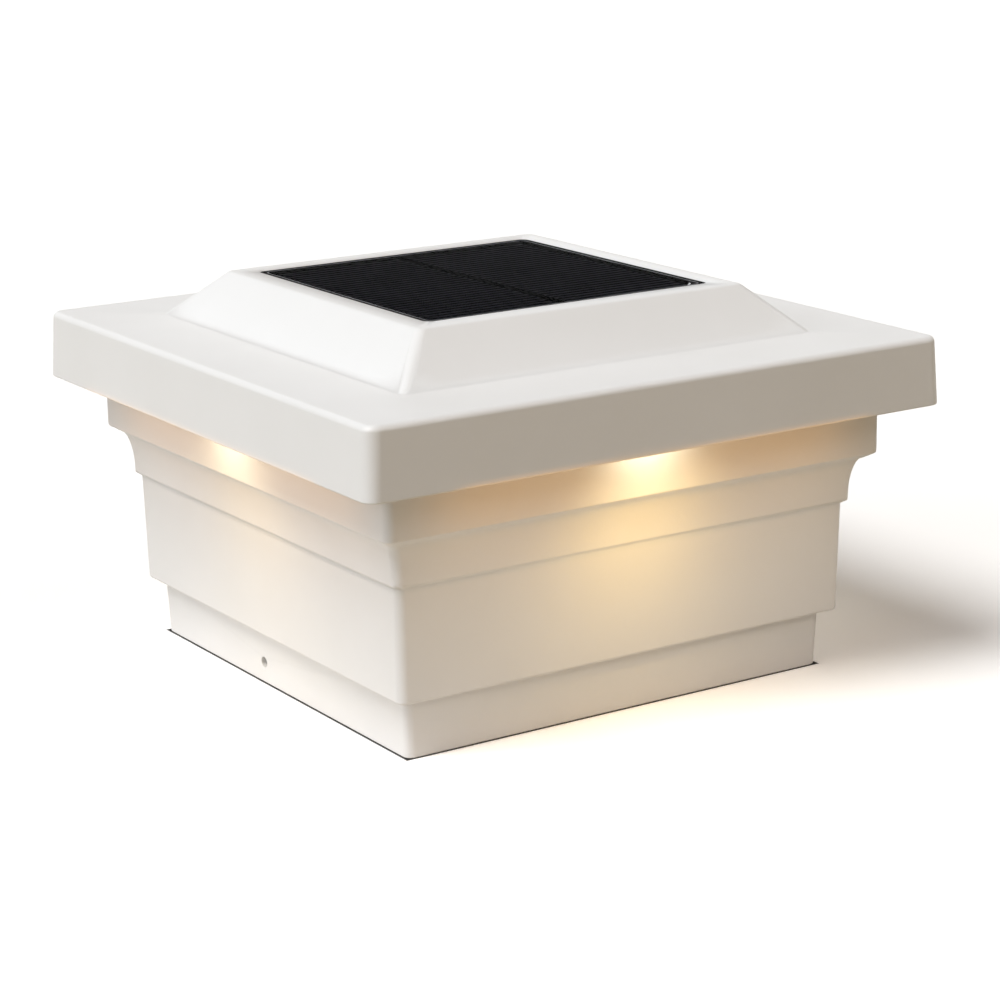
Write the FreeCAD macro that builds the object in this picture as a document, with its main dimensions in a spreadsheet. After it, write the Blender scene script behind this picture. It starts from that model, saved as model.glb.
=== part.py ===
import FreeCAD, Part
import math
import os

import Sketcher

from FreeCAD import Placement, Rotation, Vector

# Deck post cap light: a moulded sleeve that slips over a square post, a flat slab
# cover with a low pyramid and a solar panel, and a chassis under it with the cell,
# the board, the switch and four lamps that shine down the sleeve.
# Origin: middle of the sleeve's lower edge. +Z up, -Y front, lengths in millimetres.

driving_sizes = {
    # sleeve (post_trim)
    "post_width": 127.0,
    "post_gap": 1.3,
    "post_depth": 50.0,
    "skirt_wall": 2.8,
    "skirt_height": 16.2,
    "skirt_flare": 0.6,
    "skirt_edge": 0.5,
    "ledge_step": 3.6,
    "tall_height": 31.0,
    "tall_flare": 0.6,
    "tall_wall": 2.9,
    "tall_edge": 1.0,
    "bead_step": 1.4,
    "bead_height": 1.0,
    "cove_height": 12.3,
    "cove_depth": 3.0,
    "cove_wall": 2.3,
    "lip_step": 2.4,
    "lip_height": 1.5,
    "lip_edge": 0.6,
    "reveal_height": 14.1,
    "band_wall": 2.8,
    "trim_corner": 2.5,
    "web_thickness": 2.5,
    "flange_thickness": 3.0,
    "flange_width": 10.2,
    "rib_thickness": 2.0,
    "rib_spacing": 76.0,
    "side_hole_diameter": 3.2,
    "side_hole_height": 6.1,
    "side_hole_offset": 7.9,
    "notch_width": 5.0,
    "notch_depth": 3.5,
    # slab cover (top_cover)
    "slab_overhang": 11.8,
    "rim_height": 19.0,
    "rim_draft": 0.9,
    "cover_wall": 2.5,
    "cover_corner": 3.8,
    "rim_edge": 1.8,
    "rim_foot_edge": 0.5,
    "panel_rim": 6.3,
    "slope_run": 13.7,
    "pyramid_height": 13.0,
    "pyramid_corner": 2.4,
    "pyramid_edge": 1.6,
    "tray_floor": 2.2,
    "tray_wall": 2.5,
    "boss_diameter": 8.0,
    "boss_root": 1.0,
    "key_thickness": 2.0,
    "key_height": 4.0,
    "key_length": 14.0,
    "key_spacing": 88.0,
    "key_gap": 0.3,
    # solar panel
    "panel_width": 91.0,
    "panel_corner": 2.8,
    "panel_gap": 0.3,
    "panel_drop": 0.2,
    "seal_width": 4.4,
    "seal_thickness": 0.8,
    "backing_thickness": 2.0,
    "cell_sheet": 0.5,
    "cell_border": 4.0,
    "cell_split": 2.8,
    "glass_thickness": 0.8,
    "glass_edge": 0.4,
    "grommet_bore": 4.4,
    "grommet_neck": 8.0,
    "grommet_flange": 11.0,
    "grommet_lip": 0.8,
    "grommet_inset": 12.5,
    # chassis
    "chassis_gap": 0.6,
    "chassis_thickness": 3.0,
    "chassis_corner": 3.0,
    "pad_thickness": 2.0,
    "pad_width": 5.0,
    "pad_length": 90.0,
    "pad_inset": 0.7,
    "layout_gap": 2.0,
    "bay_wall": 1.8,
    "bay_head": 1.0,
    # fasteners
    "screw_inset": 5.2,
    "screw_diameter": 3.2,
    "screw_length": 20.0,
    "screw_head": 6.4,
    "screw_head_height": 2.2,
    "screw_sink": 1.2,
    "screw_fit": 0.1,
    "screw_way": 0.5,
    "small_screw_diameter": 2.2,
    "small_screw_length": 5.6,
    "small_screw_head": 4.2,
    "small_screw_head_height": 1.6,
    "lamp_screw_length": 3.6,
    "lamp_screw_head_height": 1.2,
    "drive_depth": 1.0,
    "drive_width": 0.7,
    # battery
    "cell_diameter": 14.5,
    "cell_length": 50.5,
    "cell_gap": 0.75,
    "cell_lift": 0.5,
    "nub_diameter": 5.4,
    "nub_length": 1.3,
    "cell_edge": 0.8,
    "spring_length": 6.7,
    "spring_diameter": 8.0,
    "spring_wire": 0.8,
    "spring_turns": 4.0,
    "contact_thickness": 0.4,
    "contact_width": 10.0,
    "tab_width": 3.0,
    "tab_reach": 2.4,
    # battery door
    "door_thickness": 2.0,
    "door_ledge": 1.5,
    "door_gap": 0.3,
    "door_corner": 1.0,
    "hinge_radius": 1.8,
    "hinge_gap": 0.4,
    "pivot_radius": 1.0,
    "pivot_fit": 0.05,
    "pivot_length": 2.3,
    "knuckle_length": 8.0,
    "knuckle_spacing": 40.0,
    "ear_length": 3.0,
    "ear_gap": 0.3,
    "scoop_length": 14.0,
    "scoop_width": 3.2,
    "scoop_depth": 1.5,
    # switch
    "switch_travel": 3.0,
    "switch_gap": 0.3,
    "switch_place": 10.0,
    "knob_width": 2.6,
    "knob_length": 3.2,
    "knob_reach": 1.0,
    "carriage_width": 4.0,
    "carriage_length": 5.6,
    "carriage_height": 2.2,
    "switch_wall": 1.2,
    # circuit board
    "board_width": 44.0,
    "board_length": 50.0,
    "board_thickness": 1.6,
    "board_lift": 5.0,
    "board_inset": 4.0,
    "standoff_diameter": 6.0,
    "socket_length": 7.4,
    "socket_width": 4.8,
    "socket_height": 5.4,
    "socket_inset": 3.2,
    "plug_inset": 0.4,
    "plug_height": 3.6,
    "pair_spacing": 16.0,
    "chip_width": 5.0,
    "chip_length": 6.2,
    "chip_height": 1.6,
    "chip_offset": 4.0,
    "coil_diameter": 8.0,
    "coil_height": 5.0,
    "coil_offset": 8.0,
    "capacitor_diameter": 6.3,
    "capacitor_height": 7.7,
    "capacitor_offset": 4.0,
    "resistor_length": 2.0,
    "resistor_width": 1.2,
    "resistor_height": 0.6,
    "resistor_pitch": 3.4,
    "resistor_offset": 8.0,
    "resistor_start": 13.9,
    # lamps
    "lamp_board_length": 24.0,
    "lamp_board_width": 7.2,
    "lamp_board_thickness": 1.6,
    "lamp_board_corner": 0.4,
    "lamp_screw_spacing": 18.0,
    "lamp_seat_diameter": 4.4,
    "lamp_seat_height": 0.8,
    "lamp_chip_length": 3.5,
    "lamp_chip_width": 2.8,
    "lamp_chip_height": 1.4,
    "lens_radius": 3.4,
    "lens_skin": 0.9,
    "lens_gap": 0.4,
    # leads
    "lead_diameter": 1.6,
    "thin_lead_diameter": 1.4,
    "lead_pitch": 2.2,
    "lead_reach": 18.0,
    "lead_level": 8.6,
    "bay_lead_rise": 5.5,
    "panel_lead_drop": 12.6,
}

drive_share = 0.62
bend_share = 0.45
cove_steps = 5
resistor_count = 5
steps_per_turn = 4
same_place = 0.01

document = FreeCAD.newDocument("post_cap_light")
sheet = document.addObject("Spreadsheet::Sheet", "sizes")
for row, (alias, number) in enumerate(driving_sizes.items(), start=1):
    sheet.set(f"A{row}", alias)
    sheet.set(f"B{row}", str(number))
    sheet.setAlias(f"B{row}", alias)
document.recompute()


class Size:
    """A length as a number, with the expression that gives it from the sheet."""

    def __init__(self, number, text):
        self.number = number
        self.text = text

    def combine(self, sign, other, number):
        return Size(number, f"({self.text} {sign} {as_size(other).text})")

    def __add__(self, other):
        return self.combine("+", other, self.number + as_size(other).number)

    def __sub__(self, other):
        return self.combine("-", other, self.number - as_size(other).number)

    def __mul__(self, other):
        return self.combine("*", other, self.number * as_size(other).number)

    def __truediv__(self, other):
        return self.combine("/", other, self.number / as_size(other).number)

    def __neg__(self):
        return Size(-self.number, f"(-{self.text})")


def as_size(value):
    if isinstance(value, Size):
        return value
    return Size(float(value), f"({float(value)!r})")


def size(alias):
    return Size(float(sheet.get(alias)), f"sizes.{alias}")


def larger(first, second):
    return Size(max(first.number, second.number), f"max({first.text}; {second.text})")


def bind(item, path, value):
    item.setExpression(path, as_size(value).text)


nought = as_size(0)


# shared levels

socket_half = size("post_width") / 2 + size("post_gap")
skirt_half = socket_half + size("skirt_wall")
skirt_top_half = skirt_half + size("skirt_flare")
tall_half = skirt_top_half + size("ledge_step")
tall_top_half = tall_half + size("tall_flare")
bead_half = tall_top_half + size("bead_step")
cove_top_half = bead_half + size("cove_depth")
band_half = cove_top_half + size("lip_step")
band_inner_half = band_half - size("band_wall")
slab_half = band_half + size("slab_overhang")
slab_top_half = slab_half - size("rim_draft")
rim_inner_half = slab_half - size("cover_wall")
rim_root_half = slab_top_half - size("cover_wall")

tall_level = size("skirt_height")
tall_top = tall_level + size("tall_height")
bead_top = tall_top + size("bead_height")
cove_top = bead_top + size("cove_height")
lip_level = cove_top + size("lip_height")
slab_level = lip_level + size("reveal_height")
slab_top = slab_level + size("rim_height")
cover_ceiling = slab_top - size("cover_wall")
crown_level = slab_top + size("pyramid_height")

stop_level = size("post_depth")
chassis_level = stop_level + size("pad_thickness")
chassis_top = chassis_level + size("chassis_thickness")
flange_top = chassis_top + size("flange_thickness")
chassis_half = socket_half - size("chassis_gap")
window_half = chassis_half - size("flange_width")
screw_place = chassis_half - size("screw_inset")

panel_half = size("panel_width") / 2
recess_half = panel_half + size("panel_gap")
crown_half = recess_half + size("panel_rim")
pyramid_half = crown_half + size("slope_run")
glass_top = crown_level - size("panel_drop")
glass_level = glass_top - size("glass_thickness")
cell_level = glass_level - size("cell_sheet")
backing_level = cell_level - size("backing_thickness")
tray_level = backing_level - size("seal_thickness")
tray_underside = tray_level - size("tray_floor")
grommet_level = tray_underside - size("grommet_lip")
grommet_y = panel_half - size("grommet_inset")

bay_width = size("cell_diameter") + size("cell_gap") * 2
bay_length = size("cell_length") + size("spring_length") + size("contact_thickness") * 2
bay_outer_width = bay_width + size("bay_wall") * 2
bay_outer_length = bay_length + size("bay_wall") * 2
layout_width = bay_outer_width + size("layout_gap") + size("board_width")
bay_x = bay_outer_width / 2 - layout_width / 2
board_x = layout_width / 2 - size("board_width") / 2
door_top = chassis_level + size("door_thickness")
cell_axis = door_top + size("cell_lift") + size("cell_diameter") / 2
bay_ceiling = cell_axis + size("cell_diameter") / 2 + size("bay_head")
bay_roof = bay_ceiling + size("bay_wall")

door_opening_width = bay_width + size("door_ledge") * 2
door_opening_length = bay_length + size("door_ledge") * 2
door_edge = bay_x - door_opening_width / 2 + size("door_gap")
hinge_x = door_edge - size("hinge_radius") - size("hinge_gap")
hinge_level = chassis_level

board_level = chassis_top + size("board_lift")
board_top = board_level + size("board_thickness")
socket_top = board_top + size("socket_height")
plug_top = socket_top + size("plug_height")
standoff_x = size("board_width") / 2 - size("board_inset")
standoff_y = size("board_length") / 2 - size("board_inset")

board_corners = [
    (standoff_x * x_side, standoff_y * y_side) for x_side in (-1, 1) for y_side in (-1, 1)
]

lamp_middle = (band_half + rim_root_half) / 2
lamp_board_top = cover_ceiling - size("lamp_seat_height")
lamp_board_level = lamp_board_top - size("lamp_board_thickness")
lamp_chip_level = lamp_board_level - size("lamp_chip_height")

quarter = 90
quarter_turns = {"front": 0, "right": quarter, "back": quarter * 2, "left": quarter * 3}

# the six plugs: place on the board from its middle, and whether they stand along Y
edge_x = size("board_width") / 2 - size("socket_inset")
edge_y = size("board_length") / 2 - size("socket_inset")
plug_places = {
    "front": (nought, -edge_y, False),
    "right": (edge_x, nought, True),
    "back": (size("pair_spacing") / 2, edge_y, False),
    "panel": (-size("pair_spacing") / 2, edge_y, False),
    "left": (-edge_x, -size("pair_spacing") / 2, True),
    "battery": (-edge_x, size("pair_spacing") / 2, True),
}

nodes = []


def keep(item, label):
    item.Label = label
    nodes.append(item)
    return item


def new_body(label, turn=0):
    body = document.addObject("PartDesign::Body", label)
    body.Placement = Placement(Vector(0, 0, 0), Rotation(Vector(0, 0, 1), turn))
    return keep(body, label)


def origin_part(body, role):
    for feature in body.Origin.OriginFeatures:
        if feature.Role == role:
            return feature
    raise ValueError(f"{body.Label} has no {role}")


def sketch_at(body, name, x, y, level, role="XY_Plane"):
    """A sketch on one of the body's own planes, moved to x, y in it and level off it."""
    sketch = body.newObject("Sketcher::SketchObject", name)
    sketch.AttachmentSupport = [(origin_part(body, role), "")]
    sketch.MapMode = "FlatFace"
    bind(sketch, "AttachmentOffset.Base.x", x)
    bind(sketch, "AttachmentOffset.Base.y", y)
    bind(sketch, "AttachmentOffset.Base.z", level)
    return sketch


def name_constraint(sketch, constraint, name, value):
    index = sketch.addConstraint(constraint)
    sketch.renameConstraint(index, name)
    bind(sketch, f"Constraints.{name}", value)


def draw_rectangle(sketch, width, depth, corner=None):
    """A rectangle about the sketch's own middle, with round corners where given."""
    half_w = as_size(width).number / 2
    half_d = as_size(depth).number / 2
    r = as_size(corner).number if corner else 0
    corners = [(half_w, -half_d), (half_w, half_d), (-half_w, half_d), (-half_w, -half_d)]
    runs = [
        ((-half_w + r, -half_d), (half_w - r, -half_d)),
        ((half_w, -half_d + r), (half_w, half_d - r)),
        ((half_w - r, half_d), (-half_w + r, half_d)),
        ((-half_w, half_d - r), (-half_w, -half_d + r)),
    ]
    step = 2 if corner else 1
    for index, (start, end) in enumerate(runs):
        line = Part.LineSegment(Vector(*start, 0), Vector(*end, 0))
        sketch.addGeometry(line)
        if corner:
            x, y = corners[index]
            middle = Vector(x - math.copysign(r, x), y - math.copysign(r, y), 0)
            circle = Part.Circle(middle, Vector(0, 0, 1), r)
            first = math.radians(90 * index - 90)
            sketch.addGeometry(Part.ArcOfCircle(circle, first, first + math.pi / 2))
    count = 4 * step
    join = "Tangent" if corner else "Coincident"
    for index in range(count):
        sketch.addConstraint(Sketcher.Constraint(join, index, 2, (index + 1) % count, 1))
    for index in range(4):
        direction = "Vertical" if index % 2 else "Horizontal"
        sketch.addConstraint(Sketcher.Constraint(direction, index * step))
    if corner:
        for index in (3, 5, 7):
            sketch.addConstraint(Sketcher.Constraint("Equal", 1, index))
        sketch.addConstraint(Sketcher.Constraint("Symmetric", 1, 3, 5, 3, -1, 1))
        name_constraint(sketch, Sketcher.Constraint("Radius", 1, r), "corner", corner)
    else:
        sketch.addConstraint(Sketcher.Constraint("Symmetric", 0, 1, 2, 1, -1, 1))
    across = Sketcher.Constraint("DistanceX", 3 * step, 1, step, 1, 2 * half_w)
    along = Sketcher.Constraint("DistanceY", 0, 1, 2 * step, 1, 2 * half_d)
    name_constraint(sketch, across, "across", width)
    name_constraint(sketch, along, "along", depth)
    return sketch


def draw_circle(sketch, diameter):
    radius = as_size(diameter).number / 2
    index = sketch.addGeometry(Part.Circle(Vector(0, 0, 0), Vector(0, 0, 1), radius))
    sketch.addConstraint(Sketcher.Constraint("Coincident", index, 3, -1, 1))
    width = Sketcher.Constraint("Diameter", index, 2 * radius)
    name_constraint(sketch, width, f"diameter{index}", diameter)
    return sketch


def draw_circles(sketch, diameter, places):
    """One circle at each place, all of one diameter."""
    radius = as_size(diameter).number / 2
    for index, (x, y) in enumerate(places):
        x = as_size(x)
        y = as_size(y)
        middle = Vector(x.number, y.number, 0)
        sketch.addGeometry(Part.Circle(middle, Vector(0, 0, 1), radius))
        width = Sketcher.Constraint("Diameter", index, 2 * radius)
        name_constraint(sketch, width, f"diameter{index}", diameter)
        across = Sketcher.Constraint("DistanceX", -1, 1, index, 3, x.number)
        name_constraint(sketch, across, f"across{index}", x)
        along = Sketcher.Constraint("DistanceY", -1, 1, index, 3, y.number)
        name_constraint(sketch, along, f"along{index}", y)
    return sketch


def square(body, name, half, level, corner=None):
    sketch = sketch_at(body, name, nought, nought, level)
    return draw_rectangle(sketch, half * 2, half * 2, corner)


def finish_feature(body, feature):
    body.Tip = feature
    document.recompute()
    if not feature.isValid() or feature.Shape.isNull():
        raise ValueError(f"{body.Label}: {feature.Name} failed")
    return feature


def pad(body, sketch, height, midplane=False):
    feature = body.newObject("PartDesign::Pad", f"{sketch.Name}_pad")
    feature.Profile = sketch
    feature.Midplane = midplane
    bind(feature, "Length", height)
    return finish_feature(body, feature)


def pocket(body, sketch, depth, upwards=True, midplane=False):
    """Cuts from the sketch's plane, upwards or down, and proves that it cut."""
    before = body.Tip.Shape.Volume
    feature = body.newObject("PartDesign::Pocket", f"{sketch.Name}_pocket")
    feature.Profile = sketch
    feature.Reversed = upwards
    feature.Midplane = midplane
    bind(feature, "Length", depth)
    finish_feature(body, feature)
    if feature.Shape.Volume >= before:
        raise ValueError(f"{body.Label}: {feature.Name} cut nothing")
    return feature


def loft(body, sketches, ruled=True, cut=False):
    kind = "SubtractiveLoft" if cut else "AdditiveLoft"
    feature = body.newObject(f"PartDesign::{kind}", f"{sketches[0].Name}_loft")
    feature.Profile = sketches[0]
    feature.Sections = sketches[1:]
    feature.Ruled = ruled
    return finish_feature(body, feature)


def round_pattern(body, features, count):
    """The same features again, all the way round the body's own Z axis."""
    pattern = body.newObject("PartDesign::PolarPattern", f"{features[0].Name}_round")
    pattern.Originals = features
    pattern.Axis = (origin_part(body, "Z_Axis"), [""])
    pattern.Angle = 360
    pattern.Occurrences = count
    return finish_feature(body, pattern)


def edges_on(shape, test):
    names = []
    for index, edge in enumerate(shape.Edges, start=1):
        if all(test(vertex.Point) for vertex in edge.Vertexes):
            names.append(f"Edge{index}")
    return names


def ring_edges(shape, half, level):
    """The edges of the square ring of that half width at that level."""
    def on_ring(point):
        reach = max(abs(point.x), abs(point.y))
        flat = abs(point.z - level.number) < same_place
        return flat and abs(reach - half.number) < same_place
    return edges_on(shape, on_ring)


def soften(body, half, level, radius, kind="Fillet"):
    base = body.Tip
    names = ring_edges(base.Shape, half, level)
    if not names:
        raise ValueError(f"{body.Label}: no edges to soften at {level.number}")
    feature = body.newObject(f"PartDesign::{kind}", f"edge_{kind.lower()}")
    feature.Base = (base, names)
    bind(feature, "Radius" if kind == "Fillet" else "Size", radius)
    return finish_feature(body, feature)


def block(name, width, depth, height, x, y, level):
    """A box whose middle is at x, y and whose foot is at level."""
    item = document.addObject("Part::Box", name)
    bind(item, "Length", width)
    bind(item, "Width", depth)
    bind(item, "Height", height)
    bind(item, "Placement.Base.x", as_size(x) - as_size(width) / 2)
    bind(item, "Placement.Base.y", as_size(y) - as_size(depth) / 2)
    bind(item, "Placement.Base.z", level)
    return item


def rod(name, diameter, height, x, y, level, along="z"):
    """A cylinder from its foot at x, y, level, standing up or lying along Y."""
    item = document.addObject("Part::Cylinder", name)
    bind(item, "Radius", as_size(diameter) / 2)
    bind(item, "Height", height)
    if along == "y":
        return lay_along_y(item, x, y, level)
    return stand(item, x, y, level)


def stand(item, x, y, level):
    bind(item, "Placement.Base.x", x)
    bind(item, "Placement.Base.y", y)
    bind(item, "Placement.Base.z", level)
    return item


def lay_along_y(item, x, y, level):
    item.Placement = Placement(Vector(0, 0, 0), Rotation(Vector(1, 0, 0), -90))
    return stand(item, x, y, level)


def fuse(name, items):
    item = document.addObject("Part::MultiFuse", name)
    item.Shapes = items
    item.Refine = True
    return item


def cut(name, base, tool):
    item = document.addObject("Part::Cut", name)
    item.Base = base
    item.Tool = tool
    item.Refine = True
    return item


def group(name, items):
    """Separate solids of one kind, kept as one node."""
    item = document.addObject("Part::Compound", name)
    item.Links = items
    return keep(item, name)


def screw(name, x, y, head_level, diameter, length, head, head_height, up=True):
    """A pan-head screw: its head's bearing face at head_level, its shank up or down."""
    shank_foot = head_level if up else head_level - length
    head_foot = head_level - head_height if up else head_level
    shank = rod(f"{name}_shank", diameter, length, x, y, shank_foot)
    cap = rod(f"{name}_head", head, head_height, x, y, head_foot)
    whole = fuse(f"{name}_blank", [shank, cap])
    mouth = head_foot if up else head_foot + head_height - size("drive_depth")
    long_way = head * drive_share
    narrow = size("drive_width")
    depth = size("drive_depth")
    slot_x = block(f"{name}_slot_x", long_way, narrow, depth, x, y, mouth)
    slot_y = block(f"{name}_slot_y", narrow, long_way, depth, x, y, mouth)
    return cut(name, whole, fuse(f"{name}_drive", [slot_x, slot_y]))


def make_post_trim():
    body = new_body("post_trim")
    corner = size("trim_corner")

    def ring(name, half, level):
        return square(body, name, half, level, corner)

    loft(body, [ring("skirt_foot", skirt_half, nought), ring("skirt_head", skirt_top_half, tall_level)])
    loft(body, [ring("tall_foot", tall_half, tall_level), ring("tall_head", tall_top_half, tall_top)])
    loft(body, [ring("bead_foot", tall_top_half, tall_top), ring("bead_head", bead_half, bead_top)])
    sections = []
    for index in range(cove_steps + 1):
        turn = math.pi / 2 * index / cove_steps
        half = bead_half + size("cove_depth") * (1 - math.cos(turn))
        level = bead_top + size("cove_height") * math.sin(turn)
        sections.append(ring(f"cove{index}", half, level))
    loft(body, sections, ruled=False)
    loft(body, [ring("lip_foot", cove_top_half, cove_top), ring("lip_head", band_half, lip_level)])
    pad(body, ring("band", band_half, lip_level), cover_ceiling - lip_level)
    soften(body, skirt_half, nought, size("skirt_edge"))
    soften(body, tall_half, tall_level, size("tall_edge"))
    soften(body, band_half, lip_level, size("lip_edge"))

    pocket(body, ring("socket", socket_half, nought), chassis_top)
    relief_level = tall_level + size("web_thickness")
    relief_half = tall_half - size("tall_wall")
    pocket(body, ring("relief", relief_half, relief_level), chassis_top - relief_level)
    pocket(body, ring("window", window_half, chassis_top), size("flange_thickness"))
    low_half = bead_half - size("cove_wall")
    pocket(body, ring("low_room", low_half, flange_top), cover_ceiling - flange_top)
    room_level = lip_level + size("web_thickness")
    pocket(body, ring("room", band_inner_half, room_level), cover_ceiling - room_level)

    rib_reach = relief_half - socket_half + size("tall_wall") / 2
    rib_place = socket_half + rib_reach / 2
    ribs = []
    for side in (-1, 1):
        x = size("rib_spacing") * side / 2
        sketch = sketch_at(body, f"rib{side + 1}", x, -rib_place, relief_level)
        draw_rectangle(sketch, size("rib_thickness"), rib_reach)
        ribs.append(pad(body, sketch, chassis_top - relief_level))
    round_pattern(body, ribs, 4)

    notch = sketch_at(body, "notch", nought, size("band_wall") / 2 - band_half, cover_ceiling)
    draw_rectangle(notch, size("notch_width"), size("band_wall") * 2)
    way = sketch_at(body, "screw_way", screw_place, screw_place, chassis_top)
    draw_circle(way, size("screw_diameter") + size("screw_way") * 2)
    round_pattern(body, [
        pocket(body, notch, size("notch_depth"), upwards=False),
        pocket(body, way, size("flange_thickness")),
    ], 4)

    place = (size("side_hole_offset"), size("side_hole_height"))
    hole = sketch_at(body, "side_hole", *place, nought, "YZ_Plane")
    draw_circle(hole, size("side_hole_diameter"))
    reach = skirt_top_half + size("skirt_wall")
    round_pattern(body, [pocket(body, hole, reach, upwards=False)], 2)
    return body


def make_top_cover():
    body = new_body("top_cover")
    corner = size("cover_corner")
    inner_corner = corner - size("cover_wall")
    slope = size("pyramid_corner")
    foot = square(body, "rim_foot", slab_half, slab_level, corner)
    head = square(body, "rim_head", slab_top_half, slab_top, corner)
    loft(body, [foot, head])
    pyramid_foot = square(body, "pyramid_foot", pyramid_half, slab_top, slope)
    pyramid_head = square(body, "pyramid_head", crown_half, crown_level, slope)
    loft(body, [pyramid_foot, pyramid_head])
    soften(body, slab_top_half, slab_top, size("rim_edge"))
    soften(body, crown_half, crown_level, size("pyramid_edge"))
    soften(body, slab_half, slab_level, size("rim_foot_edge"))

    hollow_foot = square(body, "hollow_foot", rim_inner_half, slab_level, inner_corner)
    hollow_head = square(body, "hollow_head", rim_root_half, cover_ceiling, inner_corner)
    loft(body, [hollow_foot, hollow_head], cut=True)
    attic_top = crown_level - size("cover_wall")
    fall = size("slope_run") / size("pyramid_height")
    wall = size("cover_wall")
    attic_half = pyramid_half + fall * wall - wall * 2
    attic_head_half = crown_half + fall * wall - wall * 2
    attic_foot = square(body, "attic_foot", attic_half, cover_ceiling)
    attic_head = square(body, "attic_head", attic_head_half, attic_top)
    loft(body, [attic_foot, attic_head], cut=True)
    tray_half = recess_half + size("tray_wall")
    pad(body, square(body, "tray", tray_half, tray_underside), attic_top - tray_underside + wall / 2)
    recess = square(body, "recess", recess_half, tray_level, size("panel_corner"))
    pocket(body, recess, crown_level - tray_level)
    way = sketch_at(body, "lead_way", plug_x("panel"), grommet_y, tray_underside)
    draw_circle(way, size("grommet_neck"))
    pocket(body, way, size("tray_floor"))

    # a boss ends where its axis meets the slope of the attic, or in the flat ceiling
    boss = sketch_at(body, "boss", screw_place, screw_place, flange_top)
    draw_circle(boss, size("boss_diameter"))
    boss_reach = larger(size("boss_root"), (attic_half - screw_place) / fall)
    grown = [pad(body, boss, cover_ceiling + boss_reach - flange_top)]
    key_place = band_inner_half - size("key_gap") - size("key_thickness") / 2
    key_level = cover_ceiling - size("key_height")
    for side in (-1, 1):
        x = size("key_spacing") * side / 2
        sketch = sketch_at(body, f"key{side + 1}", x, -key_place, key_level)
        draw_rectangle(sketch, size("key_length"), size("key_thickness"))
        grown.append(pad(body, sketch, size("key_height") + wall / 2))
    spread = size("lamp_screw_spacing") / 2
    seat = sketch_at(body, "lamp_seat", nought, -lamp_middle, lamp_board_top)
    draw_circles(seat, size("lamp_seat_diameter"), [(-spread, nought), (spread, nought)])
    grown.append(pad(body, seat, size("lamp_seat_height") + wall / 2))
    round_pattern(body, grown, 4)

    bore = sketch_at(body, "boss_bore", screw_place, screw_place, flange_top)
    draw_circle(bore, size("screw_diameter") + size("screw_fit"))
    screw_top = chassis_level + size("screw_sink") + size("screw_length")
    bored = [pocket(body, bore, screw_top + size("screw_way") - flange_top)]
    bore = sketch_at(body, "lamp_bore", nought, -lamp_middle, lamp_board_top)
    bore_width = size("small_screw_diameter") + size("screw_fit")
    draw_circles(bore, bore_width, [(-spread, nought), (spread, nought)])
    reach = size("lamp_screw_length") - size("lamp_board_thickness")
    bored.append(pocket(body, bore, reach + size("screw_fit")))
    round_pattern(body, bored, 4)
    return body


def plug_x(name):
    return board_x + plug_places[name][0]


def plug_y(name):
    return plug_places[name][1]


def make_panel():
    corner = size("panel_corner")
    seal = new_body("panel_seal")
    pad(seal, square(seal, "seal_outline", panel_half, tray_level, corner), size("seal_thickness"))
    window = square(seal, "seal_window", panel_half - size("seal_width"), tray_level)
    pocket(seal, window, size("seal_thickness"))

    backing = new_body("panel_backing")
    outline = square(backing, "backing_outline", panel_half, backing_level, corner)
    pad(backing, outline, size("backing_thickness"))

    border = new_body("panel_border")
    pad(border, square(border, "border_outline", panel_half, cell_level, corner), size("cell_sheet"))
    sheet_half = panel_half - size("cell_border")
    cell_width = sheet_half - size("cell_split") / 2
    for name, side in (("left", -1), ("right", 1)):
        place = (cell_width + size("cell_split")) * side / 2
        window = sketch_at(border, f"{name}_window", place, nought, cell_level)
        draw_rectangle(window, cell_width, sheet_half * 2)
        pocket(border, window, size("cell_sheet"))
        cell = block(
            f"solar_cell_{name}", cell_width, sheet_half * 2, size("cell_sheet"),
            place, nought, cell_level,
        )
        keep(cell, f"solar_cell_{name}")

    glass = new_body("panel_glass")
    pad(glass, square(glass, "glass_outline", panel_half, glass_level, corner), size("glass_thickness"))
    soften(glass, panel_half, glass_top, size("glass_edge"), "Chamfer")

    x = plug_x("panel")
    y = grommet_y
    flange = size("grommet_flange")
    neck = rod("grommet_neck_rod", size("grommet_neck"), size("tray_floor"), x, y, tray_underside)
    low = rod("grommet_low", flange, size("grommet_lip"), x, y, grommet_level)
    high = rod("grommet_high", flange, size("seal_thickness"), x, y, tray_level)
    whole = fuse("grommet_blank", [neck, low, high])
    bore_length = backing_level - grommet_level
    bore = rod("grommet_bore_rod", size("grommet_bore"), bore_length, x, y, grommet_level)
    keep(cut("lead_grommet", whole, bore), "lead_grommet")


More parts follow.
